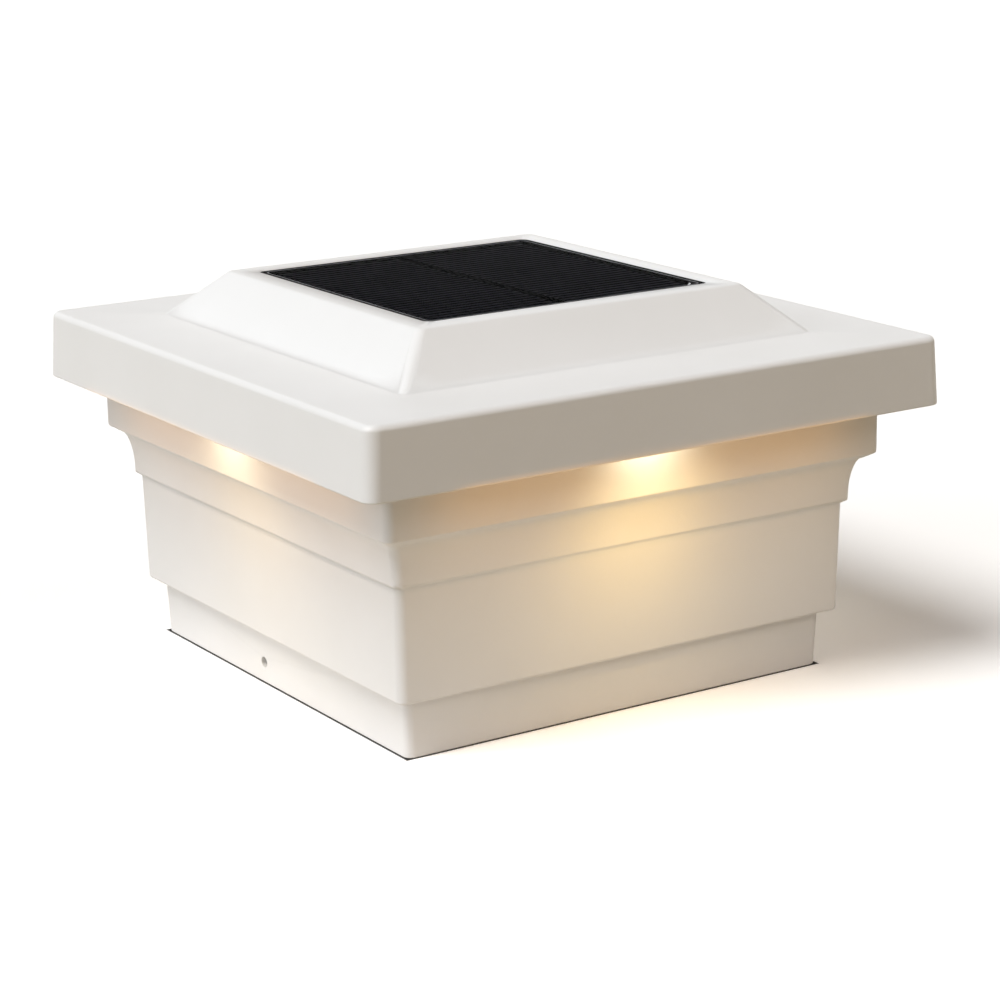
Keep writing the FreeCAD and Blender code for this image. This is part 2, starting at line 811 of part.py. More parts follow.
def make_chassis():
    body = new_body("chassis")
    plate = square(body, "plate", chassis_half, chassis_level, size("chassis_corner"))
    pad(body, plate, size("chassis_thickness"))
    bay = sketch_at(body, "bay", bay_x, nought, chassis_top)
    draw_rectangle(bay, bay_outer_width, bay_outer_length)
    pad(body, bay, bay_roof - chassis_top)
    hollow = sketch_at(body, "bay_hollow", bay_x, nought, door_top)
    draw_rectangle(hollow, bay_width, bay_length)
    pocket(body, hollow, bay_ceiling - door_top)
    recess = sketch_at(body, "door_recess", bay_x, nought, chassis_level)
    draw_rectangle(recess, door_opening_width, door_opening_length, size("door_corner"))
    pocket(body, recess, size("door_thickness"))
    slot_room = size("contact_thickness") * 2
    for side in (-1, 1):
        slot_y = (bay_length / 2 - size("contact_thickness")) * side
        slot = sketch_at(body, f"tab_slot{side + 1}", bay_x, slot_y, bay_ceiling)
        draw_rectangle(slot, size("tab_width") + slot_room, slot_room)
        pocket(body, slot, size("bay_wall"))

    notch_reach = size("hinge_radius") + size("hinge_gap")
    notch_width = door_edge + size("door_gap") - hinge_x + notch_reach
    notch_x = hinge_x - notch_reach + notch_width / 2
    bore_length = size("knuckle_length") + (size("ear_gap") + size("ear_length")) * 2
    for side in (-1, 1):
        middle = size("knuckle_spacing") * side / 2
        for end in (-1, 1):
            ear_y = middle + (bore_length / 2 - size("ear_length") / 2) * end
            place = (hinge_x, hinge_level, -ear_y)
            ear = sketch_at(body, f"ear{side + 1}{end + 1}", *place, "XZ_Plane")
            draw_circle(ear, size("hinge_radius") * 2)
            pad(body, ear, size("ear_length"), midplane=True)
        notch = sketch_at(body, f"knuckle_notch{side + 1}", notch_x, middle, chassis_level)
        draw_rectangle(notch, notch_width, size("knuckle_length") + size("ear_gap") * 2)
        pocket(body, notch, size("chassis_thickness"))
        place = (hinge_x, hinge_level, -middle)
        bore = sketch_at(body, f"pivot_bore{side + 1}", *place, "XZ_Plane")
        draw_circle(bore, (size("pivot_radius") + size("pivot_fit")) * 2)
        pocket(body, bore, bore_length, midplane=True)

    scoop_x = bay_x + door_opening_width / 2 + size("scoop_width") / 2
    scoop = sketch_at(body, "scoop", scoop_x, nought, chassis_level)
    draw_rectangle(scoop, size("scoop_width"), size("scoop_length"), size("door_corner"))
    pocket(body, scoop, size("scoop_depth"))

    slot = sketch_at(body, "knob_slot", board_x, -size("switch_place"), chassis_level)
    slot_length = size("knob_length") + size("switch_travel") + size("switch_gap") * 2
    draw_rectangle(slot, size("knob_width") + size("switch_gap") * 2, slot_length)
    pocket(body, slot, size("chassis_thickness"))

    posts = sketch_at(body, "standoffs", board_x, nought, chassis_top)
    draw_circles(posts, size("standoff_diameter"), board_corners)
    pad(body, posts, size("board_lift"))
    depth = size("small_screw_length") - size("board_thickness") + size("screw_fit")
    bores = sketch_at(body, "standoff_bores", board_x, nought, board_level - depth)
    draw_circles(bores, size("small_screw_diameter") + size("screw_fit"), board_corners)
    pocket(body, bores, depth)

    way = sketch_at(body, "screw_way", screw_place, screw_place, chassis_level)
    draw_circle(way, size("screw_diameter") + size("screw_way") * 2)
    sink = sketch_at(body, "screw_seat", screw_place, screw_place, chassis_level)
    draw_circle(sink, size("screw_head") + size("screw_way"))
    round_pattern(body, [
        pocket(body, way, size("chassis_thickness")),
        pocket(body, sink, size("screw_sink")),
    ], 4)
    return body


def make_fixings():
    pad_place = chassis_half - size("pad_inset") - size("pad_width") / 2
    strips = []
    for name, x, y, wide in (
        ("front", nought, -pad_place, True),
        ("back", nought, pad_place, True),
        ("left", -pad_place, nought, False),
        ("right", pad_place, nought, False),
    ):
        width = size("pad_length") if wide else size("pad_width")
        depth = size("pad_width") if wide else size("pad_length")
        strips.append(block(f"pad_{name}", width, depth, size("pad_thickness"), x, y, stop_level))
    group("post_pads", strips)

    screws = []
    for x_side in (-1, 1):
        for y_side in (-1, 1):
            screws.append(screw(
                f"cover_screw{x_side + 1}{y_side + 1}",
                screw_place * x_side, screw_place * y_side, chassis_level + size("screw_sink"),
                size("screw_diameter"), size("screw_length"),
                size("screw_head"), size("screw_head_height"),
            ))
    group("cover_screws", screws)

    screws = []
    for index, (x, y) in enumerate(board_corners):
        screws.append(screw(
            f"board_screw{index}", board_x + x, y, board_top,
            size("small_screw_diameter"), size("small_screw_length"),
            size("small_screw_head"), size("small_screw_head_height"), up=False,
        ))
    group("board_screws", screws)


def make_battery():
    start = bay_length / 2 - size("contact_thickness") - size("cell_length")
    edge = size("cell_edge")
    can_length = size("cell_length") - size("nub_length")
    place = (bay_x, start + edge, cell_axis)
    can = rod("cell_can", size("cell_diameter"), can_length - edge * 2, *place, along="y")
    nub_y = start + can_length
    nub = rod("cell_nub", size("nub_diameter"), size("nub_length"), bay_x, nub_y, cell_axis, "y")
    ends = []
    for name, y, low, high in (
        ("cell_foot", start, size("cell_diameter") - edge * 2, size("cell_diameter")),
        ("cell_head", nub_y - edge, size("cell_diameter"), size("cell_diameter") - edge * 2),
    ):
        cone = document.addObject("Part::Cone", name)
        bind(cone, "Radius1", low / 2)
        bind(cone, "Radius2", high / 2)
        bind(cone, "Height", edge)
        lay_along_y(cone, bay_x, y, cell_axis)
        ends.append(cone)
    keep(fuse("battery_cell", [can, nub] + ends), "battery_cell")

    plate_foot = cell_axis - size("contact_width") / 2
    tab_foot = cell_axis + size("contact_width") / 2
    for label, side in (("battery_contact", 1), ("battery_spring_plate", -1)):
        y = (bay_length / 2 - size("contact_thickness") / 2) * side
        plate = block(
            f"{label}_plate", size("contact_width"), size("contact_thickness"),
            size("contact_width"), bay_x, y, plate_foot,
        )
        tab = block(
            f"{label}_tab", size("tab_width"), size("contact_thickness"),
            bay_roof + size("tab_reach") - tab_foot, bay_x, y, tab_foot,
        )
        keep(fuse(label, [plate, tab]), label)
    make_spring(start)


def biarc(first, first_way, last, last_way):
    """Two arcs from first to last that leave and arrive along the given directions."""
    chord = last - first
    both = first_way + last_way
    a = 2 * (first_way.dot(last_way) - 1)
    b = -2 * chord.dot(both)
    c = chord.dot(chord)
    reach = abs((-b - math.sqrt(b * b - 4 * a * c)) / (2 * a))
    near = first + first_way * reach
    far = last - last_way * reach
    joint = (near + far) * 0.5
    arcs = []
    for start, apex, end in ((first, near, joint), (joint, far, last)):
        middle = (start + end) * 0.5
        half_turn = (end - start).Length / 2 / (apex - start).Length
        share = half_turn / (1 + half_turn)
        arcs.append(Part.Arc(start, middle + (apex - middle) * share, end).toShape())
    return arcs


def make_spring(cell_start):
    """One unbroken wire, wound from the spring plate to the foot of the cell."""
    wire = size("spring_wire").number
    radius = (size("spring_diameter").number - wire) / 2
    near_y = -(bay_length.number / 2 - size("contact_thickness").number) + wire / 2
    far_y = cell_start.number - wire / 2
    turns = size("spring_turns").number
    steps = int(round(turns * steps_per_turn))
    rise = (far_y - near_y) / (turns * 2 * math.pi)

    def point(turn):
        x = bay_x.number + radius * math.cos(turn)
        z = cell_axis.number + radius * math.sin(turn)
        return Vector(x, near_y + rise * turn, z)

    def way(turn):
        heading = Vector(-radius * math.sin(turn), rise, radius * math.cos(turn))
        return heading.normalize()

    edges = []
    for index in range(steps):
        first = 2 * math.pi * turns * index / steps
        last = 2 * math.pi * turns * (index + 1) / steps
        edges += biarc(point(first), way(first), point(last), way(last))
    path = Part.Wire(edges)
    profile = Part.Wire([Part.Circle(point(0), way(0), wire / 2).toShape()])
    solid = path.makePipeShell([profile], True, False)
    item = document.addObject("Part::Feature", "battery_spring")
    item.Shape = solid
    keep(item, "battery_spring")
    pitch = rise * 2 * math.pi
    print(f"battery_spring: least gap between turns {pitch - wire:.2f} mm")
    compare_volume("battery_spring", solid, wire, path.Length)


def compare_volume(label, solid, diameter, length):
    expected = math.pi * diameter ** 2 / 4 * length
    print(f"{label}: volume {solid.Volume:.1f}, section times length {expected:.1f} mm3")


def make_battery_door():
    body = new_body("battery_door")
    leaf = sketch_at(body, "leaf", bay_x, nought, chassis_level)
    leaf_width = door_opening_width - size("door_gap") * 2
    leaf_length = door_opening_length - size("door_gap") * 2
    draw_rectangle(leaf, leaf_width, leaf_length, size("door_corner") - size("door_gap"))
    pad(body, leaf, size("door_thickness"))
    for side in (-1, 1):
        middle = size("knuckle_spacing") * side / 2
        link_width = door_edge - hinge_x + size("hinge_gap")
        link = sketch_at(body, f"link{side + 1}", hinge_x + link_width / 2, middle, chassis_level)
        draw_rectangle(link, link_width, size("knuckle_length"))
        pad(body, link, size("hinge_radius"))
        for name, radius, length in (
            ("knuckle", size("hinge_radius"), size("knuckle_length")),
            ("pivot", size("pivot_radius"), size("knuckle_length") + size("pivot_length") * 2),
        ):
            disc = sketch_at(body, f"{name}{side + 1}", hinge_x, hinge_level, -middle, "XZ_Plane")
            draw_circle(disc, radius * 2)
            pad(body, disc, length, midplane=True)
    return body


def make_circuit_board():
    body = new_body("circuit_board")
    outline = sketch_at(body, "board_outline", board_x, nought, board_level)
    draw_rectangle(outline, size("board_width"), size("board_length"), size("door_corner"))
    pad(body, outline, size("board_thickness"))
    ways = sketch_at(body, "board_holes", board_x, nought, board_level)
    draw_circles(ways, size("small_screw_diameter") + size("screw_way"), board_corners)
    pocket(body, ways, size("board_thickness"))

    sockets = []
    plugs = []
    for name, (x, y, along_y) in plug_places.items():
        width = size("socket_width") if along_y else size("socket_length")
        depth = size("socket_length") if along_y else size("socket_width")
        trim = size("plug_inset") * 2
        sockets.append(block(
            f"socket_{name}", width, depth, size("socket_height"), board_x + x, y, board_top,
        ))
        plugs.append(block(
            f"plug_{name}", width - trim, depth - trim, size("plug_height"), board_x + x, y, socket_top,
        ))
    group("board_sockets", sockets)
    group("lead_plugs", plugs)

    chip = block(
        "controller_chip", size("chip_width"), size("chip_length"), size("chip_height"),
        board_x, -size("chip_offset"), board_top,
    )
    keep(chip, "controller_chip")
    coil = rod(
        "boost_coil", size("coil_diameter"), size("coil_height"),
        board_x + size("coil_offset"), size("coil_offset"), board_top,
    )
    keep(coil, "boost_coil")
    can = rod(
        "buffer_capacitor", size("capacitor_diameter"), size("capacitor_height"),
        board_x - size("capacitor_offset"), size("coil_offset"), board_top,
    )
    keep(can, "buffer_capacitor")
    resistors = []
    for index in range(resistor_count):
        resistors.append(block(
            f"resistor{index}", size("resistor_length"), size("resistor_width"),
            size("resistor_height"), board_x + size("resistor_offset"),
            size("resistor_pitch") * index - size("resistor_start"), board_top,
        ))
    group("board_resistors", resistors)


def make_switch():
    y = -size("switch_place")
    wall = size("switch_wall")
    gap = size("switch_gap")
    room_width = size("carriage_width") + gap * 2
    room_length = size("carriage_length") + size("switch_travel") + gap * 2
    room_height = size("carriage_height") + gap * 2
    case = block(
        "switch_case", room_width + wall * 2, room_length + wall * 2,
        size("board_lift"), board_x, y, chassis_top,
    )
    room = block("switch_room", room_width, room_length, room_height, board_x, y, chassis_top)
    keep(cut("switch_body", case, room), "switch_body")

    rest_y = y - size("switch_travel") / 2
    carriage = block(
        "switch_carriage", size("carriage_width"), size("carriage_length"),
        size("carriage_height"), board_x, rest_y, chassis_top + gap,
    )
    knob_height = chassis_top + gap - chassis_level + size("knob_reach")
    knob = block(
        "switch_knob", size("knob_width"), size("knob_length"), knob_height,
        board_x, rest_y, chassis_level - size("knob_reach"),
    )
    keep(fuse("switch_slider", [carriage, knob]), "switch_slider")


def make_lamp(name, turn):
    spread = size("lamp_screw_spacing") / 2
    board = new_body(f"{name}_lamp_board", turn)
    outline = sketch_at(board, f"{name}_board", nought, -lamp_middle, lamp_board_level)
    corner = size("lamp_board_corner")
    draw_rectangle(outline, size("lamp_board_length"), size("lamp_board_width"), corner)
    pad(board, outline, size("lamp_board_thickness"))
    ways = sketch_at(board, f"{name}_ways", nought, -lamp_middle, lamp_board_level)
    way_width = size("small_screw_diameter") + size("screw_way")
    draw_circles(ways, way_width, [(-spread, nought), (spread, nought)])
    pocket(board, ways, size("lamp_board_thickness"))

    chip = new_body(f"{name}_lamp_chip", turn)
    outline = sketch_at(chip, f"{name}_chip", nought, -lamp_middle, lamp_chip_level)
    draw_rectangle(outline, size("lamp_chip_length"), size("lamp_chip_width"))
    pad(chip, outline, size("lamp_chip_height"))

    lens = new_body(f"{name}_lamp_lens", turn)
    radius = size("lens_radius")
    section = sketch_at(lens, f"{name}_dome", nought, lamp_board_level, lamp_middle, "XZ_Plane")
    r = radius.number
    section.addGeometry(Part.LineSegment(Vector(0, 0, 0), Vector(r, 0, 0)))
    circle = Part.Circle(Vector(0, 0, 0), Vector(0, 0, 1), r)
    section.addGeometry(Part.ArcOfCircle(circle, -math.pi / 2, 0))
    section.addGeometry(Part.LineSegment(Vector(0, -r, 0), Vector(0, 0, 0)))
    section.addConstraint(Sketcher.Constraint("Coincident", 0, 1, -1, 1))
    section.addConstraint(Sketcher.Constraint("Coincident", 0, 2, 1, 2))
    section.addConstraint(Sketcher.Constraint("Coincident", 1, 1, 2, 1))
    section.addConstraint(Sketcher.Constraint("Coincident", 2, 2, -1, 1))
    section.addConstraint(Sketcher.Constraint("Coincident", 1, 3, -1, 1))
    section.addConstraint(Sketcher.Constraint("Horizontal", 0))
    section.addConstraint(Sketcher.Constraint("Vertical", 2))
    name_constraint(section, Sketcher.Constraint("Radius", 1, r), "dome", radius)
    dome = lens.newObject("PartDesign::Revolution", f"{name}_dome_turn")
    dome.Profile = section
    dome.ReferenceAxis = (section, ["V_Axis"])
    dome.Angle = 360
    finish_feature(lens, dome)
    room = sketch_at(lens, f"{name}_room", nought, -lamp_middle, lamp_chip_level - size("lens_gap"))
    draw_circle(room, (radius - size("lens_skin")) * 2)
    pocket(lens, room, size("lamp_chip_height") + size("lens_gap"))


def make_lamp_screws():
    screws = []
    for name, turn in quarter_turns.items():
        for side in (-1, 1):
            x = size("lamp_screw_spacing") * side / 2
            y = -lamp_middle
            for _ in range(turn // quarter):
                x, y = -y, x
            screws.append(screw(
                f"lamp_screw_{name}{side + 1}", x, y, lamp_board_level,
                size("small_screw_diameter"), size("lamp_screw_length"),
                size("small_screw_head"), size("lamp_screw_head_height"),
            ))
    group("lamp_screws", screws)


def lead(label, points, diameter):
    """A lead along straight runs with a tangent arc at each inner point."""
    corners = []
    for index in range(1, len(points) - 1):
        before, here, after = points[index - 1:index + 2]
        into = here - before
        out = after - here
        turn = into.getAngle(out)
        shorter = min(into.Length, out.Length)
        radius = bend_share * shorter / math.tan(turn / 2)
        trim = radius * math.tan(turn / 2)
        start = here - into.normalize() * trim
        end = here + out.normalize() * trim
        middle = (start + end) * 0.5
        inward = (middle - here).normalize()
        apex = here + inward * (radius / math.cos(turn / 2) - radius)
        corners.append((start, apex, end, radius))
    edges = []
    place = points[0]
    for start, apex, end, radius in corners:
        edges.append(Part.LineSegment(place, start).toShape())
        edges.append(Part.Arc(start, apex, end).toShape())
        place = end
    edges.append(Part.LineSegment(place, points[-1]).toShape())
    path = Part.Wire(edges)
    profile = Part.Wire([Part.Circle(points[0], points[1] - points[0], diameter / 2).toShape()])
    solid = path.makePipeShell([profile], True, False)
    item = document.addObject("Part::Feature", label)
    item.Shape = solid
    keep(item, label)
    print(f"{label}: length {path.Length:.0f} mm, radii", [round(c[3], 1) for c in corners])
    compare_volume(label, solid, diameter, path.Length)


def make_leads():
    level = (lamp_board_level + size("lamp_board_thickness") / 2).number
    cross_level = (cover_ceiling - size("lead_level")).number
    start = (lamp_middle - size("lamp_board_width") / 2).number
    inner = start - size("lead_reach").number
    top = plug_top.number
    for name, turn in quarter_turns.items():
        swing = Rotation(Vector(0, 0, 1), turn)
        x = plug_x(name).number
        y = plug_y(name).number
        lead(f"{name}_lamp_lead", [
            swing.multVec(Vector(0, -start, level)),
            swing.multVec(Vector(0, -inner, level)),
            Vector(x, y, cross_level),
            Vector(x, y, top),
        ], size("lead_diameter").number)

    thin = size("thin_lead_diameter").number
    pitch = size("lead_pitch").number / 2
    crossing = (grommet_level - size("panel_lead_drop")).number
    for colour, side in (("red", 1), ("black", -1)):
        x = plug_x("panel").number + pitch * side
        far = grommet_y.number
        near = plug_y("panel").number
        lead(f"panel_lead_{colour}", [
            Vector(x, far, backing_level.number),
            Vector(x, far, crossing),
            Vector(x, near, crossing),
            Vector(x, near, top),
        ], thin)

    tab_top = (bay_roof + size("tab_reach")).number
    over = (bay_roof + size("tab_reach") + size("bay_lead_rise")).number
    tab_y = (bay_length / 2 - size("contact_thickness") / 2).number
    for colour, side in (("red", 1), ("black", -1)):
        x = plug_x("battery").number
        y = plug_y("battery").number + pitch * side
        lead(f"battery_lead_{colour}", [
            Vector(bay_x.number, tab_y * side, tab_top),
            Vector(bay_x.number, tab_y * side, over),
            Vector(x, y, over),
            Vector(x, y, top),
        ], thin)


make_post_trim()
make_top_cover()
make_panel()
make_chassis()
make_fixings()
make_battery()
make_battery_door()
make_circuit_board()
make_switch()
for lamp_name, lamp_turn in quarter_turns.items():
    make_lamp(lamp_name, lamp_turn)
make_lamp_screws()
make_leads()
document.recompute()

for item in document.Objects:
    if "Invalid" in item.State or "Error" in item.State:
        raise ValueError(f"{item.Label} did not build: {item.State}")
for item in nodes:
    if item.Shape.isNull() or not item.Shape.isValid():
        raise ValueError(f"{item.Label} has no valid shape")

os.makedirs("parts", exist_ok=True)
for item in nodes:
    item.Shape.exportStep(f"parts/{item.Label}.step")
print(f"{len(nodes)} nodes written")
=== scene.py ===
import math

import bmesh
import bpy
from mathutils import Matrix, Vector


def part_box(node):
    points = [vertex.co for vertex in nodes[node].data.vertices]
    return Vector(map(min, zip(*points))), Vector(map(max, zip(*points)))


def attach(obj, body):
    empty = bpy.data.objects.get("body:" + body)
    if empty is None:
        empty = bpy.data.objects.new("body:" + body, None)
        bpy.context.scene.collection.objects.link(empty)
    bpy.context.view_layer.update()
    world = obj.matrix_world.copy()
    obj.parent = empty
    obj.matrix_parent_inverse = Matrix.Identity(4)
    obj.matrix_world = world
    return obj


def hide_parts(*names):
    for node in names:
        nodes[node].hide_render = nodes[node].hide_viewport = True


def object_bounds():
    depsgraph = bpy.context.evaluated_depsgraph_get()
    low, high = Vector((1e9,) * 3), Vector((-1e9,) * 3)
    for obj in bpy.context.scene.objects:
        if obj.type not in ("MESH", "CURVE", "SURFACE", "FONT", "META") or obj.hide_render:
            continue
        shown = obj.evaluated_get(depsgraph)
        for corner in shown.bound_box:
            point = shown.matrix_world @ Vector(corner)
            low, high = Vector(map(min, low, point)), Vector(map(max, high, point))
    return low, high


# A deck post cap light: white moulded sleeve and slab cover, a solar panel in the low
# pyramid, and four warm lamps under the slab that wash down the sleeve. Lengths are in
# metres, angles in degrees and the lamps' powers in watts.

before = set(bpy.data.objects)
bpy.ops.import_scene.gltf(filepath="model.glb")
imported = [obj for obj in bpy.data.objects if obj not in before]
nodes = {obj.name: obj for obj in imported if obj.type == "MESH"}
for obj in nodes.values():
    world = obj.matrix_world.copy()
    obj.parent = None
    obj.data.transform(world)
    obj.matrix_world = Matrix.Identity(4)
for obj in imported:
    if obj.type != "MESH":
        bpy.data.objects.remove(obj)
cadLow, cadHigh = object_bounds()
print("frame:", len(nodes), "pieces")


cameraPlace = {
    "lens": 100.2,
    "sensor": 36.0,
    "azimuth": -33.15,
    "elevation": 15.01,
    "roll": -0.75,
    "distance": 0.7925,
    "aimRight": 0.0049,
    "aimUp": 0.0436,
    "nearest": 0.01,
}


def makeCamera(place):
    turn = math.radians(place["azimuth"])
    rise = math.radians(place["elevation"])
    roll = math.radians(place["roll"])
    back = Vector((math.sin(turn) * math.cos(rise), -math.cos(turn) * math.cos(rise), math.sin(rise)))
    right = Vector((math.cos(turn), math.sin(turn), 0))
    up = back.cross(right)
    aim = right * place["aimRight"] + Vector((0, 0, place["aimUp"]))
    rolledRight = right * math.cos(roll) + up * math.sin(roll)
    rolledUp = up * math.cos(roll) - right * math.sin(roll)
    data = bpy.data.cameras.new("camera")
    data.lens = place["lens"]
    data.sensor_width = place["sensor"]
    data.clip_start = place["nearest"]
    camera = bpy.data.objects.new("camera", data)
    bpy.context.scene.collection.objects.link(camera)
    axes = Matrix((rolledRight, rolledUp, back)).transposed()
    camera.matrix_world = Matrix.Translation(aim + back * place["distance"]) @ axes.to_4x4()
    bpy.context.scene.camera = camera


makeCamera(cameraPlace)
print("camera: set")


def addNode(tree, kind, **settings):
    node = tree.nodes.new(kind)
    for name, value in settings.items():
        setattr(node, name, value)
    return node


def newMaterial(name):
    material = bpy.data.materials.new(name)
    material.use_nodes = True
    tree = material.node_tree
    return material, tree, tree.nodes["Principled BSDF"]


def objectCoordinates(tree):
    return addNode(tree, "ShaderNodeTexCoord").outputs["Object"]


def noiseHeight(tree, coordinates, scale, detail, roughness):
    noise = addNode(tree, "ShaderNodeTexNoise")
    noise.inputs["Scale"].default_value = scale
    noise.inputs["Detail"].default_value = detail
    noise.inputs["Roughness"].default_value = roughness
    tree.links.new(coordinates, noise.inputs["Vector"])
    return noise.outputs["Fac"]


# The span that most values of a noise lie in, and the span of a share.
noiseSpan = (0.3, 0.7)
fullSpan = (0.0, 1.0)


def blendColours(tree, factor, colours, span=noiseSpan):
    ramp = addNode(tree, "ShaderNodeValToRGB")
    ramp.color_ramp.elements[0].position = span[0]
    ramp.color_ramp.elements[1].position = span[1]
    for element, colour in zip(ramp.color_ramp.elements, colours):
        element.color = (*colour, 1)
    tree.links.new(factor, ramp.inputs["Fac"])
    return ramp.outputs["Color"]


def mapRange(tree, factor, low, high, span=noiseSpan):
    ranged = addNode(tree, "ShaderNodeMapRange")
    ranged.inputs["From Min"].default_value = span[0]
    ranged.inputs["From Max"].default_value = span[1]
    ranged.inputs["To Min"].default_value = low
    ranged.inputs["To Max"].default_value = high
    tree.links.new(factor, ranged.inputs["Value"])
    return ranged.outputs["Result"]


def addBump(tree, shader, height, depth):
    bump = addNode(tree, "ShaderNodeBump")
    bump.inputs["Distance"].default_value = depth
    tree.links.new(height, bump.inputs["Height"])
    tree.links.new(bump.outputs["Normal"], shader.inputs["Normal"])


# The detail and the roughness of each noise.
noiseLook = {"clouds": (3, 0.55), "patches": (4, 0.6), "grain": (2, 0.6)}


# Mottled colour, uneven gloss and a fine grain. The grain's depth is in metres.
def surfaceFinish(name, look):
    material, tree, shader = newMaterial(name)
    coordinates = objectCoordinates(tree)
    clouds = noiseHeight(tree, coordinates, look["cloudScale"], *noiseLook["clouds"])
    tree.links.new(blendColours(tree, clouds, look["colours"]), shader.inputs["Base Color"])
    patches = noiseHeight(tree, coordinates, look["glossScale"], *noiseLook["patches"])
    tree.links.new(mapRange(tree, patches, *look["roughness"]), shader.inputs["Roughness"])
    grain = noiseHeight(tree, coordinates, look["grainScale"], *noiseLook["grain"])
    addBump(tree, shader, grain, look["grainDepth"])
    for socket, value in look.get("fixed", {}).items():
        shader.inputs[socket].default_value = value
    return material


